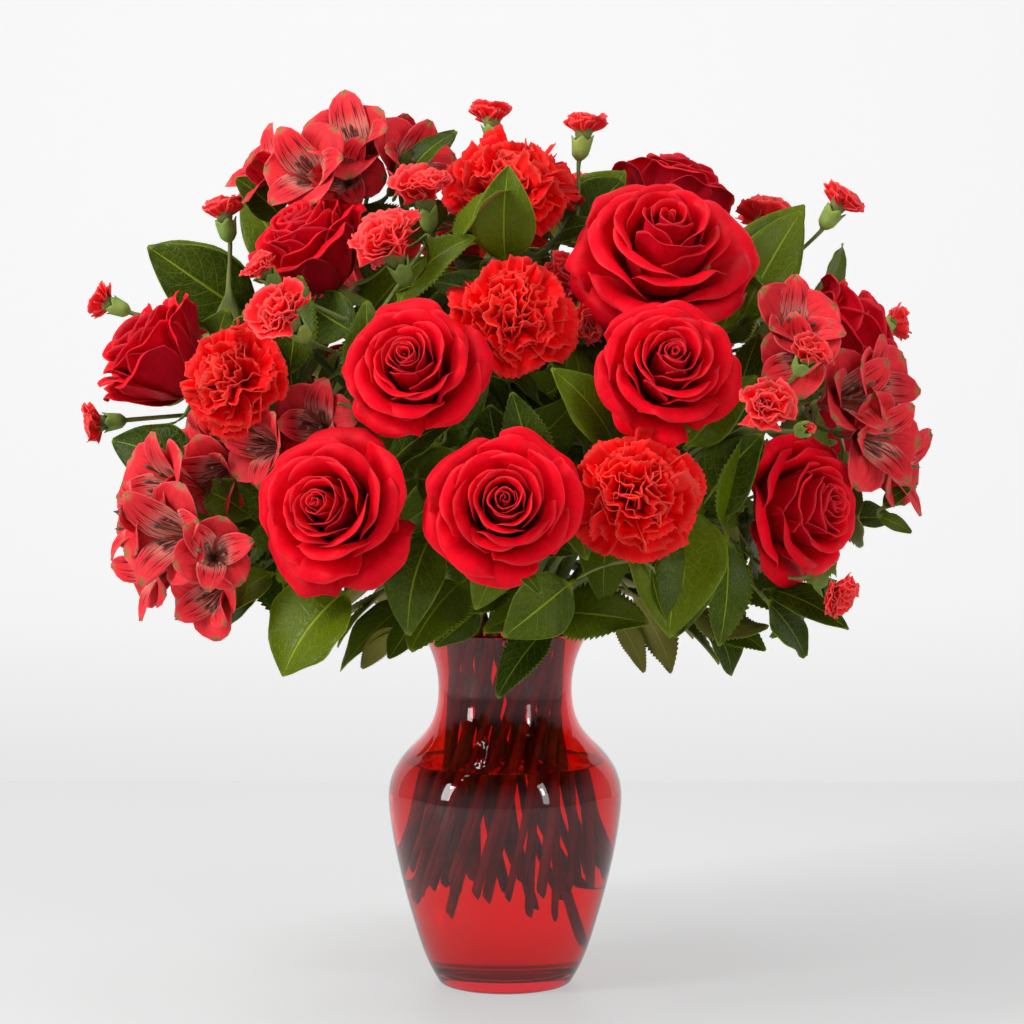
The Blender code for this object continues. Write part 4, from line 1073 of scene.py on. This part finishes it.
def makeSepals(head, random):
    # five narrow green leaves under the petals, bent down and out
    rows = []
    axes = facingAxes(head["facing"], random.uniform(0, math.tau))
    for i in range(stem["sepals"]):
        turn = math.tau * i / stem["sepals"]
        out = axes[0] * math.cos(turn) + axes[1] * math.sin(turn)
        bend = random.uniform(-0.5, 0.6)
        start = head["base"] + out * 0.0045 - head["facing"] * 0.0005
        end = start + unit(out - head["facing"] * bend) * stem["sepalLength"] * random.uniform(0.8, 1.15)
        rows.append((start, end, stem["sepalWidth"], -head["facing"] + out * 0.2, "strap"))
    return [sheetCopy(sepalBlank, leafPlaces(sepalBlank, *row, random), 1.0, random.uniform())
            for row in rows]


for number, openness in enumerate(roseOpenness, 1):
    label = f"rose_{number:02d}"
    head = bloomPlace(label)
    bloom = makeRose(label + "_petals", roseBlank, head, openness, 40 + number)
    finished(bloom, "rose_petal", label + "_bloom")
    random = np.random.default_rng(140 + number)
    sepals = joined(label + "_sepals", makeSepals(head, random))
    applyModifier(sepals, "SOLIDIFY", thickness=stem["sepalThickness"], offset=0.0)
    sepals.data.shade_smooth()
    stalk = roundedCopy(label + "_cut_stem", label + "_stem", stem["roundingFat"], 2, stemGreen)
    stalk = joined(label + "_cut_stem", [stalk, sepals])
    finished(stalk, "green_stem", label + "_stem")
    balls.append((head["base"] + head["facing"] * head["height"] / 2, head["width"] / 2 * 0.96))
print("roses made")

for number in range(1, 8):
    label = f"carnation_{number:02d}"
    head = bloomPlace(label)
    bloom = makeCarnation(label + "_petals", carnationBlank, head, 60 + number)
    finished(bloom, "carnation_petal", label + "_bloom")
    random = np.random.default_rng(160 + number)
    stalk = roundedCopy(label + "_cut_stem", label + "_stem", 0.00034, 2, stemGreen)
    below = head["base"] - head["facing"] * calyx["below"]
    cupPiece = makeCup(label + "_calyx", cupBlank, below, head["facing"], calyx["radius"], calyx["length"],
                       calyx["flare"], random)
    finished(joined(label + "_cut_stem", [stalk, cupPiece]), "green_stem", label + "_stem")
    balls.append((head["base"] + head["facing"] * head["height"] / 2, head["width"] / 2 * 0.94))
print("carnations made")

for number, heads in enumerate(sprayCarnations, 1):
    label = f"spray_carnation_{number:02d}"
    random = np.random.default_rng(260 + number)
    heads = [headPlace(*row, sprayHead["slimness"]) for row in heads]
    balls += [(head["middle"], head["width"] * 0.46) for head in heads]

    def toStems(places):
        for head in heads:
            places = drawnIn(places, head, sprayHead["stub"] * head["height"], sprayHead["reach"])
        return places

    pieces = [roundedCopy(label + "_stems", label, sprayHead["roundingFat"], 1, stemGreen, toStems)]
    for i, head in enumerate(heads):
        budUpTo, bud = sprayHead["budUpTo"], sprayHead["bud"]
        grown = np.clip((head["width"] - budUpTo) / (sprayHead["fullWidth"] - budUpTo), 0, 1)
        shape = {
            "petals": round(float(np.interp(grown, (0, 1), sprayHead["petals"]))),
            "lean": float(np.interp(grown, (0, 1), sprayHead["lean"])),
            "mouth": sprayHead["mouth"], "width": 1.0,
            "calyxLength": 0.62 - 0.16 * grown, "calyxFlare": sprayHead["calyxFlare"],
        }
        shape = bud if head["width"] < budUpTo else shape
        pieces.append(makeCup(label + "_calyx", cupBlank, head["base"], head["facing"],
                              sprayHead["calyxRadius"] + sprayHead["calyxGrowth"] * grown,
                              head["height"] * shape["calyxLength"], shape["calyxFlare"], random))
        mouth = shape["mouth"] * head["height"]
        own = {**head, "base": head["base"] + head["facing"] * mouth, "height": head["height"] - mouth,
               "width": head["width"] * shape["width"], "stretch": sprayHead["stretch"]}
        pieces.append(makeCarnation(label + "_petals", sprayBlank, own, 300 + 10 * number + i,
                                    shape["petals"], shape["lean"]))
    finished(joined(label + "_spray", pieces), "spray_carnation", label)
print("spray carnations made")

for number, heads in enumerate(alstroemerias, 1):
    label = f"alstroemeria_{number:02d}"
    random = np.random.default_rng(360 + number)
    heads = [headPlace(*row, floretHead["slimness"]) for row in heads]
    extra = [headPlace(*row, floretHead["slimness"]) for row in moreFlorets[number - 1]]
    balls += [(head["middle"], head["width"] * 0.36) for head in heads + extra]

    def toStems(places):
        for head in heads:
            places = drawnIn(places, head, floretHead["stub"] * head["height"], floretHead["reach"])
        return places

    pieces = [roundedCopy(label + "_stems", label, sprayHead["roundingFat"], 1, stemGreen, toStems)]
    umbel = np.mean([head["base"] for head in heads], axis=0) - (0.0, 0.0, floretHead["umbelDrop"])
    for i, head in enumerate(heads + extra):
        out = head["facing"]
        axes = facingAxes(out, random.uniform(0, math.tau))
        own = {**head, "base": head["base"] + out * floretHead["ovaryLength"] * 0.8,
               "height": head["height"] - floretHead["ovaryLength"] * 0.5,
               "width": head["width"] * floretHead["spread"] * random.uniform(0.92, 1.08),
               "stretch": floretHead["stretch"]}
        if i >= len(heads):
            path = curveBetween(umbel, umbel * 0.6 + head["base"] * 0.4, head["base"] - out * 0.010,
                                head["base"])
            pieces.append(makeRod(rodBlank, path, [floretHead["stalk"]] * 8))
        pieces.append(makeFloret(label + "_tepals", tepalBlank, own, 400 + 10 * number + i))
        pieces.append(makeRod(rodBlank, [head["base"] - out * 0.001, head["base"] + out * 0.003,
                                         head["base"] + out * 0.006, head["base"] + out * 0.0095],
                              [0.0012, 0.0030, 0.0034, 0.0016]))
        throat = own["base"] + out * 0.004
        for k in range(alstroemeria["stamens"]):
            turn = math.tau * k / alstroemeria["stamens"] + random.normal(0, 0.2)
            side = axes[0] * math.cos(turn) + axes[1] * math.sin(turn)
            reach = own["height"] * random.uniform(0.72, 0.92)
            end = throat + out * reach + side * reach * random.uniform(0.12, 0.30)
            path = curveBetween(throat + side * 0.001, throat + out * reach * 0.45,
                                end - out * reach * 0.2, end)
            pieces.append(makeRod(thinRodBlank, path, [0.0003] * 5 + [0.0005, 0.0012, 0.0009]))
    finished(joined(label + "_stalks", pieces), "alstroemeria", label)
print("alstroemerias made")

# leaves
stalkPlaces = np.vstack([vertexPlaces(node) for label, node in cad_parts.items()
                         if label not in ("vase", "water") and "bloom" not in label])
stalkPlaces = stalkPlaces[stalkPlaces[:, 2] > 0.204]
# one leaf is wider than its CAD blade, by this share
broadest = {(-0.079, -0.140, 0.236): 1.22}
for number, rows in enumerate(lemonLeaves, 1):
    label = f"lemon_leaf_{number:02d}"
    random = np.random.default_rng(460 + number)

    def toStems(places):
        for row in rows:
            places = drawnInBlade(places, *row)
        return places

    branch = roundedCopy(label + "_branch", label, sprayHead["roundingFat"], 1, stemGreen, toStems)
    leafRows = [(base, tip, width * broadest.get(base, 1.0), face, "lemon")
                for base, tip, width, face in rows]
    leaves = makeLeaves(label + "_leaves", leafBlanks, leafRows, random, balls)
    finished(joined(label + "_branch", [branch, leaves]), "glossy_leaf", label)
print("lemon leaves made")

# single leaves that fill the bunch, listed one by one: base, tip, width, facing, kind
handLeaves = [
    ((-0.165, -0.060, 0.289), (-0.214, -0.050, 0.309), 0.036, (-0.1, -0.9, 0.4), "lemon"),
    ((-0.178, -0.045, 0.305), (-0.211, -0.050, 0.274), 0.026, (0.3, 0.8, 0.3), "lemon"),
    ((-0.163, -0.060, 0.263), (-0.2035, -0.070, 0.2845), 0.028, (-0.3, -0.8, 0.5), "lemon"),
    ((-0.140, -0.070, 0.261), (-0.186, -0.080, 0.266), 0.036, (-0.2, -0.9, 0.3), "lemon"),
    ((-0.132, -0.100, 0.2685), (-0.164, -0.100, 0.286), 0.026, (-0.2, -0.8, 0.6), "lemon"),
    ((-0.130, -0.115, 0.256), (-0.1453, -0.130, 0.261), 0.012, (-0.2, -0.8, 0.6), "lemon"),
    ((-0.1207, -0.110, 0.2412), (-0.144, -0.120, 0.2247), 0.020, (-0.4, -0.8, 0.3), "lemon"),
    ((-0.1295, -0.085, 0.278), (-0.1585, -0.100, 0.247), 0.030, (-0.4, -0.8, 0.3), "rose"),
    ((-0.120, -0.070, 0.300), (-0.156, -0.086, 0.312), 0.030, (-0.3, -0.8, 0.5), "rose"),
    ((-0.112, -0.060, 0.330), (-0.140, -0.070, 0.352), 0.028, (-0.3, -0.8, 0.5), "rose"),
    ((-0.128, -0.100, 0.247), (-0.145, -0.100, 0.2245), 0.016, (-0.3, -0.8, -0.4), "rose"),
    ((-0.124, 0.010, 0.430), (-0.1506, 0.000, 0.4542), 0.022, (-0.3, -0.8, 0.5), "lemon"),
    ((-0.138, 0.020, 0.372), (-0.2016, 0.010, 0.4164), 0.044, (-0.3, -0.9, 0.3), "lemon"),
    ((-0.061, -0.020, 0.441), (-0.028, -0.010, 0.480), 0.020, (-0.5, -0.7, 0.5), "lemon"),
    ((0.042, 0.000, 0.426), (0.0655, 0.000, 0.453), 0.032, (0.1, -0.9, 0.4), "lemon"),
    ((-0.058, -0.020, 0.416), (-0.080, -0.010, 0.439), 0.026, (0.2, -0.9, 0.3), "rose"),
    ((0.053, -0.020, 0.427), (0.017, -0.020, 0.416), 0.018, (-0.2, -0.7, 0.7), "lemon"),
    ((0.118, -0.004, 0.362), (0.168, 0.006, 0.440), 0.042, (0.0, -0.95, 0.3), "lemon"),
    ((0.090, -0.118, 0.284), (0.084, -0.152, 0.212), 0.054, (0.1, -0.95, 0.2), "lemon"),
    ((0.138, -0.096, 0.232), (0.1795, -0.120, 0.2147), 0.020, (0.1, -0.8, 0.6), "lemon"),
    ((0.100, -0.100, 0.268), (0.133, -0.120, 0.314), 0.036, (0.0, -0.9, 0.4), "lemon"),
    ((0.094, -0.108, 0.306), (0.130, -0.120, 0.345), 0.024, (0.2, -0.8, 0.5), "lemon"),
    ((0.109, -0.060, 0.233), (0.160, -0.086, 0.217), 0.024, (0.2, -0.7, 0.7), "rose"),
    ((0.126, -0.080, 0.258), (0.116, -0.090, 0.231), 0.012, (0.6, -0.7, 0.1), "rose"),
    ((0.098, -0.066, 0.219), (0.141, -0.085, 0.211), 0.024, (-0.1, 0.6, -0.8), "rose"),
    ((0.104, -0.056, 0.212), (0.141, -0.070, 0.197), 0.022, (0.3, -0.8, 0.5), "rose"),
    ((0.059, -0.040, 0.214), (0.077, -0.050, 0.182), 0.013, (0.2, 0.8, 0.3), "rose"),
    ((0.068, -0.044, 0.226), (0.092, -0.060, 0.183), 0.023, (0.2, 0.8, 0.4), "rose"),
    ((0.206, -0.050, 0.272), (0.221, -0.052, 0.283), 0.008, (0.1, -0.9, 0.4), "lemon"),
    ((0.203, -0.050, 0.268), (0.222, -0.052, 0.259), 0.008, (0.1, -0.9, 0.4), "lemon"),
    ((0.024, -0.096, 0.219), (0.074, -0.130, 0.218), 0.037, (0.0, -0.8, 0.6), "rose"),
    ((0.030, -0.096, 0.223), (-0.010, -0.124, 0.214), 0.026, (0.1, -0.8, 0.6), "rose"),
    ((0.026, -0.076, 0.212), (-0.004, -0.100, 0.176), 0.021, (-0.2, -0.9, 0.3), "rose"),
    ((-0.0204, -0.104, 0.238), (-0.049, -0.132, 0.204), 0.036, (-0.2, -0.9, 0.4), "rose"),
    ((-0.013, -0.070, 0.219), (-0.037, -0.084, 0.200), 0.019, (-0.1, -0.9, 0.4), "rose"),
    ((-0.058, -0.050, 0.208), (-0.078, -0.060, 0.185), 0.012, (-0.3, 0.8, -0.4), "rose"),
    ((-0.050, -0.070, 0.212), (-0.062, -0.084, 0.193), 0.015, (-0.3, -0.9, 0.2), "rose"),
    ((0.012, -0.090, 0.2305), (-0.020, -0.110, 0.222), 0.024, (0.0, -0.8, 0.6), "rose"),
    ((0.030, -0.060, 0.312), (0.052, -0.066, 0.350), 0.030, (0.2, -0.9, 0.3), "rose"),
    ((0.000, -0.100, 0.300), (-0.008, -0.126, 0.330), 0.030, (-0.2, -0.9, 0.3), "rose"),
    ((-0.020, -0.105, 0.290), (-0.014, -0.140, 0.316), 0.020, (0.2, -0.9, 0.2), "rose"),
    ((0.006, -0.180, 0.250), (0.018, -0.196, 0.238), 0.006, (0.0, -0.9, 0.3), "strap"),
]
filler = {
    "middle": (0.0, 0.0, 0.275), "reach": (0.200, 0.170, 0.188), "lowest": -0.30,
    "layers": ((150, 0.86, 0.98), (110, 0.62, 0.78), (60, 0.36, 0.55)),   # leaves, share of the reach
    "length": (0.044, 0.062), "width": (0.024, 0.036), "longestStalk": 0.085,
}
collar = {"count": 15, "from": -25, "to": 205, "start": 0.040, "reach": (0.050, 0.075),
          "high": (0.222, 0.245), "drop": (0.020, 0.045), "width": (0.024, 0.034)}


def clearOfFlowers(base, tip):
    # shifts a leaf bodily off the flowers before its blade is pressed round them
    for _ in range(4):
        for middle, reach in balls:
            for share in (0.35, 0.6, 0.85):
                point = base + (tip - base) * share
                offset = point - middle
                distance = np.linalg.norm(offset)
                if distance < reach + 0.002:
                    shift = offset / distance * (reach + 0.002 - distance) * 0.6
                    base, tip = base + shift * 0.4, tip + shift
    return base, tip


def coversFlower(base, tip):
    # true if the leaf would lie between a flower's face and the outside
    heart = np.array(filler["middle"])
    for share in (0.1, 0.5, 0.9):
        point = base + (tip - base) * share - heart
        for middle, size in balls:
            toFlower = middle - heart
            far = np.linalg.norm(toFlower)
            spread = math.asin(min(0.95, size / far))
            angle = math.acos(np.clip(unit(point) @ toFlower / far, -1, 1))
            if angle < spread + 0.03 and np.linalg.norm(point) > far - 0.35 * size:
                return True
    return False


def fillerLayer(count, near, far, random):
    rows = []
    middle, reach = np.array(filler["middle"]), np.array(filler["reach"])
    for i in range(count):
        high = 1 - (1 - filler["lowest"]) * (i + 0.5) / count
        turn = i * math.radians(137.508)
        wide = math.sqrt(1 - high ** 2)
        out = np.array([math.cos(turn) * wide, math.sin(turn) * wide, high])
        normal = unit(out / reach)
        rise = np.array([0.0, 0.0, 1.0]) if high > 0.05 else np.array([0.0, 0.0, -1.0])
        upward = rise - normal * (rise @ normal)
        upward = unit(upward) if np.linalg.norm(upward) > 0.1 else unit(np.cross(normal, (0, 1, 0)))
        swing = math.radians(random.uniform(-105, 105))
        ahead = upward * math.cos(swing) + np.cross(normal, upward) * math.sin(swing)
        length = random.uniform(*filler["length"])
        at = middle + out * reach * random.uniform(near, far)
        base = at - ahead * length * 0.45 - normal * 0.016
        tip = at + ahead * length * 0.50 + normal * 0.004
        base, tip = clearOfFlowers(base, tip)
        face = normal + random.normal(0, 0.30, 3)
        if coversFlower(base, tip):
            continue
        width = random.uniform(*filler["width"])
        rows.append((base, tip, width, face, "lemon" if random.uniform() < 0.45 else "rose"))
    return rows


def collarRows(random):
    rows = []
    for turn in np.radians(np.linspace(collar["from"], collar["to"], collar["count"])):
        turn += random.normal(0, 0.08)
        out = np.array([math.cos(turn), math.sin(turn), 0.0])
        high = random.uniform(*collar["high"])
        length = random.uniform(*collar["reach"])
        base = out * (collar["start"] + random.uniform(0.0, 0.02)) + (0, 0, high)
        tip = base + out * length + (0, 0, -random.uniform(*collar["drop"]))
        face = np.array([0.0, 0.0, 1.0]) + out * 0.6 + random.normal(0, 0.25, 3)
        width = random.uniform(*collar["width"])
        rows.append((base, tip, width, face, "rose" if random.uniform() < 0.6 else "lemon"))
    return rows


def stalksTo(rows):
    # a thin stalk from the nearest stem to each leaf's base
    pieces = []
    for base, tip, *_ in rows:
        base, tip = np.array(base), np.array(tip)
        above = np.clip(stalkPlaces[:, 2] - base[2], 0, None)
        gaps = np.linalg.norm(stalkPlaces - base, axis=1) + 0.8 * above
        start = stalkPlaces[np.argmin(gaps)]
        length = np.linalg.norm(base - start)
        if length > filler["longestStalk"] or length < 0.002:
            continue
        path = curveBetween(start, start + (0, 0, length * 0.3), base - unit(tip - base) * length * 0.4,
                            base + unit(tip - base) * 0.002)
        pieces.append(makeRod(rodBlank, path, [0.0009] * 6 + [0.0008, 0.0007]))
    return pieces


random = np.random.default_rng(77)
fillers = [row for layer in filler["layers"] for row in fillerLayer(*layer, random)]
frontFillers = [row for row in fillers if row[0][1] < 0]
backFillers = [row for row in fillers if row[0][1] >= 0]
for label, rows in (("hand_leaves", handLeaves), ("front_leaves", frontFillers), ("back_leaves", backFillers),
                    ("collar_leaves", collarRows(random))):
    leaves = makeLeaves(label, leafBlanks, rows, random, balls)
    whole = joined(label, [leaves, *stalksTo(rows)])
    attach(whole, "root")
    print(label, len(rows))

for blank in blanks:
    bpy.data.objects.remove(blank["sheet"], do_unlink=True)

# stage, lights and camera
studio = {"floorFar": 0.74, "floorNear": -4.0, "half": 4.0, "wallPlace": 3.2, "wallHeight": 5.0,
          "wallTop": 3.0}


def stageMaterial(name, near, far, along, low, high, glow):
    # a plain pale surface with a soft gradient of painted shade, darker at its near or lower end
    material, tree, shader = newMaterial(name)
    split = nodeIn(tree, "ShaderNodeSeparateXYZ", {0: objectPlace(tree)}).outputs
    colour = mixedColour(tree, ramped(tree, split[along], low, high), near, far)
    tree.links.new(colour, shader.inputs["Base Color"])
    shader.inputs["Roughness"].default_value = 0.55
    shader.inputs["Specular IOR Level"].default_value = 0.35
    tree.links.new(colour, shader.inputs["Emission Color"])
    shader.inputs["Emission Strength"].default_value = glow
    return material


def stagePlane(name, shape, material):
    bpy.ops.mesh.primitive_plane_add(size=1.0)
    plane = bpy.context.object
    plane.name = name
    setPlaces(plane, shape(vertexPlaces(plane)))
    plane.data.materials.append(material)
    return plane


def floorShape(corners):
    middleY = (studio["floorFar"] + studio["floorNear"]) / 2
    return corners * (2 * studio["half"], studio["floorFar"] - studio["floorNear"], 1) + (0, middleY, 0)


def wallShape(corners):
    return np.column_stack([corners[:, 0] * 2 * studio["half"], np.full(4, studio["wallPlace"]),
                            (corners[:, 1] - 0.5) * studio["wallHeight"] + studio["wallTop"]])


floor = stagePlane("floor", floorShape, stageMaterial(
    "paleTable", (0.37, 0.37, 0.37, 1), (0.38, 0.38, 0.38, 1), 1, -0.6, 0.74, 1.03))
backdrop = stagePlane("backdrop", wallShape, stageMaterial(
    "paleWall", (0.72, 0.72, 0.72, 1), (0.83, 0.83, 0.83, 1), 2, -0.42, 0.0, 0.535))


def softbox(name, place, target, size, power):
    bpy.ops.object.light_add(type="AREA", location=place)
    light = bpy.context.object
    light.name = name
    light.rotation_euler = (Vector(target) - Vector(place)).to_track_quat("-Z", "Y").to_euler()
    light.data.shape = "RECTANGLE"
    light.data.size, light.data.size_y = size
    light.data.energy = power


bouquet = (0.0, 0.0, 0.30)
softbox("keyStrip", (-1.50, -0.85, 1.60), bouquet, (0.42, 3.0), 44)
softbox("keyCore", (-1.48, -0.90, 1.36), bouquet, (0.10, 0.60), 6)
softbox("rightStrip", (1.15, -1.35, 1.45), bouquet, (0.26, 2.8), 13)
softbox("rightCore", (1.12, -1.36, 0.95), bouquet, (0.08, 0.40), 2.2)
softbox("topLight", (-0.2, 0.3, 1.9), bouquet, (1.6, 1.0), 8)
world = bpy.data.worlds.new("studio")
bpy.context.scene.world = world
world.use_nodes = True
worldTree = world.node_tree
# a pale room that darkens overhead
direction = nodeIn(worldTree, "ShaderNodeTexCoord").outputs["Generated"]
skyward = nodeIn(worldTree, "ShaderNodeSeparateXYZ", {0: direction}).outputs[2]
background = worldTree.nodes["Background"]
background.inputs["Color"].default_value = (1.0, 1.0, 1.0, 1.0)
worldTree.links.new(ramped(worldTree, skyward, 0.10, 0.62, 0.44, 0.10), background.inputs["Strength"])
bpy.context.scene.view_settings.view_transform = "Standard"

view = {"place": (0.0039, -1.6, 0.36), "pitch": -3.33, "lens": 100}
bpy.ops.object.camera_add(location=view["place"], rotation=(math.radians(90 + view["pitch"]), 0, 0))
camera = bpy.context.object
camera.data.lens = view["lens"]
bpy.context.scene.camera = camera
